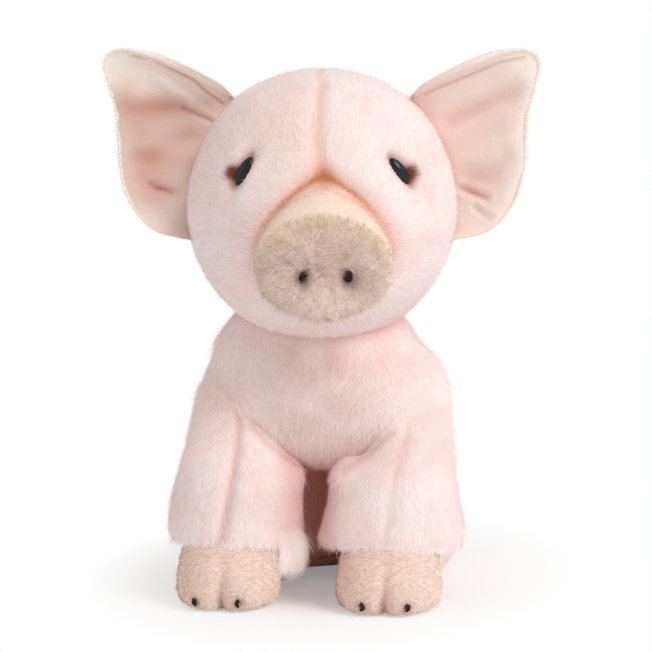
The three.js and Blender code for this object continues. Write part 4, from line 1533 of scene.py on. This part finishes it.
def hoof_marks(form):
    x, y = form.x, form.y

    def stain_and_painted_shade(root, normal):
        total = np.zeros(len(root))
        for place in stitch_places(form).values():
            total += 0.7 * bump(np.linalg.norm(root - place, axis=1), 1.6)
        off = root[:, :2] - [x, y]
        around = np.degrees(np.arctan2(off[:, 0], -off[:, 1]))
        total += 0.4 * bump(around, 4) * ease(0.3, 0.1, root[:, 2] / form.height)
        return np.clip(total, 0, 1)

    def shade(root, normal):
        return 0.4 * ease(0.0, 0.9, ripple(form, root))

    return {"stain_and_painted_shade": stain_and_painted_shade, "shade": shade}


def make_stitch(name, body, node, place):
    """A few crossed turns of dark thread pulled into the pile."""
    outward = unit(np.array([place[0] * 0.2, -1.0, 0.1]))
    aside = unit(np.cross(outward, [0, 0, 1.0]))
    rise = np.cross(aside, outward)
    points, faces = [], []
    for turn, offset in STITCH_TURNS:
        line = math.cos(turn) * rise + math.sin(turn) * aside
        side = np.cross(line, outward)
        rings = []
        for at in np.linspace(-1, 1, 11):
            middle = place + line * at * STITCH_LONG + side * offset
            middle = middle + outward * (0.7 * (1 - at * at) - 0.2)
            radius = STITCH_THREAD * math.sqrt(max(0.04, 1 - at**4))
            rings.append(hoop(middle, radius, side, outward, 8))
        form = Form(np.array(rings))
        first = sum(len(earlier) for earlier in points)
        faces.append((form.quads + first, form.caps + first))
        points.append(form.v)
    mesh = mesh_of(
        name, np.concatenate(points), np.concatenate([q for q, _ in faces]),
        np.concatenate([c for _, c in faces]),
    )
    mesh.materials.append(dark_thread)
    thing = new_object(name, mesh)
    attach(thing, body)
    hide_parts(node)


def make_hoof(limb, name, body, form, count):
    hoof = hoof_skin(form)
    names = f"{limb}_hoof_plush_{name}", f"{limb}_hoof_pile_{name}"
    soft_piece(
        names, body, hoof, short_pile, "short_pile", fill=0.85, replaces=(f"{limb}_hoof_{name}",),
        marks=hoof_marks(form), count=count, length=1.3, width=0.18, lean=60, comb=hoof_comb,
        clump=(1.2, 0.6), soft=0.65, keep=not_under, scale=hoof_ripples(form),
    )
    for way, place in stitch_places(form).items():
        label = "outer" if way == SIDES[name] else "inner"
        make_stitch(f"{limb}_stitch_{label}_{name}", body, f"{limb}_toe_{label}_{name}", place)


for name in SIDES:
    body = f"front_leg_{name}"
    leg = leg_skin(name)
    soft_piece(
        (f"front_leg_plush_{name}", f"front_leg_pile_{name}"), body, leg, body_pile, "long_pile", fill=0.7,
        replaces=(f"front_leg_{name}", f"front_leg_stuffing_{name}"), marks={"shade": leg_shade(name)},
        count=52000, comb=leg_comb, clump=(4.0, 0.3), stray=0.22, wisps=0.02, keep=leg_keep,
        scale=hem_length, stand=leg_lean, **BODY_FIBRES,
    )
    if name == "right":
        pile(
            "front_leg_tuft_right", body, leg, body_pile, "long_pile", count=300000, length=TUFT_LONG,
            width=0.24, lean=82, comb=tuft_comb, clump=(3.0, 0.5), stray=0.1, soft=0.95, keep=tuft_keep,
        )
    make_hoof("front", name, body, hoof_forms[name], 24000)

# Hind legs


def haunch_skin(name):
    form = Form(haunch_forms[name].rings(70, 120, -ROOT_DEPTH))
    form.push(-0.5 * noise(form.v, 14.0, 81)[:, 0])
    points = form.v.copy()
    points[:, 2] = np.maximum(points[:, 2], SKIN_FLOOR)
    return form.moved(points)


def haunch_keep(root, normal):
    hidden = torso_form.holds(root, -ROOT_DEPTH + 0.1) | ((normal[:, 2] < -0.7) & (root[:, 2] < 3))
    return ~hidden


for name in SIDES:
    body = f"hind_leg_{name}"
    haunch = haunch_skin(name)
    soft_piece(
        (f"hind_leg_plush_{name}", f"hind_leg_pile_{name}"), body, haunch, body_pile, "long_pile",
        fill=0.7, replaces=(f"hind_leg_{name}", f"hind_leg_stuffing_{name}"), count=34000,
        comb=downwards, clump=(4.0, 0.2), stray=0.18, keep=haunch_keep, **BODY_FIBRES,
    )
    make_hoof("hind", name, body, hind_hoof_forms[name], 12000)

# Tail

TAIL_HEIGHT, TAIL_BACK = 34, 12  # of its root, and how far back its tip is from there
TAIL_CURL, TAIL_TURN = 6, math.radians(378)
TAIL_ROOT, TAIL_TIP = 3.6, 2.0  # radii


def tail_line(part):
    """The middle of the tail's curl, from its root at 0 to its tip at 1."""
    low, high = torso_shares[3], torso_shares[4]
    _, y, z, _, deep = torso_form.ovals(np.array([low, high], float), 0)
    share = (TAIL_HEIGHT - z[0]) / (z[1] - z[0])
    back = y + deep
    slope = (back[1] - back[0]) / (z[1] - z[0])
    root = back[0] + (back[1] - back[0]) * share + (TAIL_ROOT + 0.3) * math.hypot(1, slope)
    around = part * TAIL_TURN
    reach = TAIL_CURL * np.minimum(1, 3 * part)
    rise = TAIL_HEIGHT + reach * (1 - np.cos(around))
    return np.stack([reach * np.sin(around), root + part * TAIL_BACK, rise], -1)


def tail_form(grow):
    parts = np.linspace(0, 1, 60)
    middle = tail_line(parts)
    along = unit(np.gradient(middle, axis=0))
    rings = []
    for point, way, part in zip(middle, along, parts):
        first = unit(np.cross(way, [1.0, 0, 0.2]))
        second = np.cross(way, first)
        end = math.sqrt(max(0.02, 1 - max(0, (part - 0.93) / 0.07) ** 2))
        radius = (TAIL_ROOT + (TAIL_TIP - TAIL_ROOT) * part + grow) * end
        rings.append(hoop(point, radius, first, second, 28))
    # The root goes back into the torso's pile, a little wider there.
    middle = rings[0].mean(0)
    root = [
        middle + (rings[0] - middle) * wide - [0, back, 0]
        for wide, back in ((1.1, 4.0), (1.07, 3.0), (1.03, 1.8), (1.0, 0.7))
    ]
    return Form(np.concatenate([root, rings]))


def tail_comb(root, normal):
    line = tail_line(np.linspace(0, 1, 60))
    along = unit(np.gradient(line, axis=0))
    near = np.argmin(((root[:, None, :] - line[None]) ** 2).sum(2), axis=1)
    return along[near]


def tail_short(root, normal):
    """Shorter pile at the root, beside the torso's."""
    return 0.2 + 0.8 * ease(-3.6, -1.0, root[:, 1] - tail_line(np.zeros(1))[0, 1])


tail = tail_form(-1.0)
soft_piece(
    ("tail_plush", "tail_pile"), "tail", tail, long_pile, "long_pile", fill=0.8, replaces=("tail",),
    count=7000, length=2.2, width=0.18, lean=66, comb=tail_comb, soft=0.92, scale=tail_short,
)

SEAM_TURNS, SEAM_ASIDE, SEAM_THREAD = 22, 0.8, 0.42


def make_closing():
    """The back's closing seam: one thread laid to and fro over the slit."""
    parts = np.linspace(0, 1, SEAM_TURNS * 8 + 1)
    path = rows_of(closing_path(), len(parts))
    sway = np.sin(parts * SEAM_TURNS * math.pi)
    back = unit(np.cross([1.0, 0, 0], np.gradient(path, axis=0)))
    back *= np.sign(back[:, 1:2])
    middle = path + np.outer(SEAM_ASIDE * sway, [1.0, 0, 0]) - back * (0.3 + 0.3 * sway**2)[:, None]
    along = unit(np.gradient(middle, axis=0))
    side = unit(np.cross(along, back))
    ways = zip(middle, side, np.cross(side, along))
    rings = [hoop(point, SEAM_THREAD, first, second, 10) for point, first, second in ways]
    skin(
        "closing_stitches", "torso", Form(np.array(rings)), pink_thread,
        replaces=("closing_seam",),
    )


make_closing()

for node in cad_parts.values():
    if node.hide_render:
        continue
    finish = pink_thread if node.name == "neck_seam" else washer_plastic
    node.data.materials.clear()
    node.data.materials.append(finish)

# Floor, light and backdrop

LIGHTS = [  # name, place, size, watts
    ("key", (1.2, -0.8, 1.35), 1.1, 19.8),
    ("fill", (-1.3, -0.9, 0.7), 1.2, 1.6),
]
LIT_POINT = 0, 0, 0.09
WORLD_LIGHT = 0.615
FLOOR_REACH = 6000.0
FLOOR_GLOW = 0.25, 1.0  # share of plain white near the object and far from it
GLOW_NEAR, GLOW_FAR, GLOW_OVAL = 0.045, 0.1, (1.25, 0.8, 1)


def make_stage():
    nodes = Nodes("floor_white")
    nodes.shader.inputs["Base Color"].default_value = srgb(247, 247, 247)
    nodes.shader.inputs["Roughness"].default_value = 0.9
    nodes.shader.inputs["Specular IOR Level"].default_value = 0.1
    path, glow, mix = nodes.add("LightPath"), nodes.add("Emission"), nodes.add("MixShader")
    spot, oval = nodes.add("TexCoord"), nodes.add("VectorMath", operation="MULTIPLY")
    away = nodes.add("VectorMath", operation="LENGTH")
    oval.inputs[1].default_value = GLOW_OVAL
    nodes.link(spot.outputs["Object"], oval.inputs[0])
    nodes.link(oval.outputs[0], away.inputs[0])
    fade = nodes.add("MapRange")
    fade.inputs["From Min"].default_value, fade.inputs["From Max"].default_value = (GLOW_NEAR, GLOW_FAR)
    fade.inputs["To Min"].default_value, fade.inputs["To Max"].default_value = FLOOR_GLOW
    nodes.link(away.outputs["Value"], fade.inputs["Value"])
    share = nodes.add("Math", operation="MULTIPLY")
    nodes.link(path.outputs["Is Camera Ray"], share.inputs[0])
    nodes.link(fade.outputs["Result"], share.inputs[1])
    nodes.link(share.outputs[0], mix.inputs[0])
    nodes.link(nodes.shader.outputs[0], mix.inputs[1])
    nodes.link(glow.outputs[0], mix.inputs[2])
    nodes.link(mix.outputs[0], nodes.tree.nodes["Material Output"].inputs["Surface"])
    corners = np.array([[-1.0, -1, 0], [1, -1, 0], [1, 1, 0], [-1, 1, 0]]) * FLOOR_REACH
    floor = new_object("floor", mesh_of("floor", corners, np.array([[0, 1, 2, 3]])))
    floor.data.materials.append(nodes.material)
    world = bpy.data.worlds.new("studio")
    bpy.context.scene.world = world
    world.use_nodes = True
    tree = world.node_tree
    back = tree.nodes["Background"]
    back.inputs["Color"].default_value = (1, 1, 1, 1)
    path = tree.nodes.new("ShaderNodeLightPath")
    seen = tree.nodes.new("ShaderNodeMapRange")
    seen.inputs["To Min"].default_value, seen.inputs["To Max"].default_value = WORLD_LIGHT, 1.0
    tree.links.new(path.outputs["Is Camera Ray"], seen.inputs["Value"])
    tree.links.new(seen.outputs["Result"], back.inputs["Strength"])
    for name, place, size, watts in LIGHTS:
        data = bpy.data.lights.new(name, "AREA")
        data.shape, data.size, data.energy = "DISK", size, watts
        lamp = new_object(name, data)
        lamp.location = place
        way = Vector(LIT_POINT) - Vector(place)
        lamp.rotation_euler = way.to_track_quat("-Z", "Y").to_euler()
    bpy.context.scene.view_settings.view_transform = "Standard"


make_camera()
make_stage()
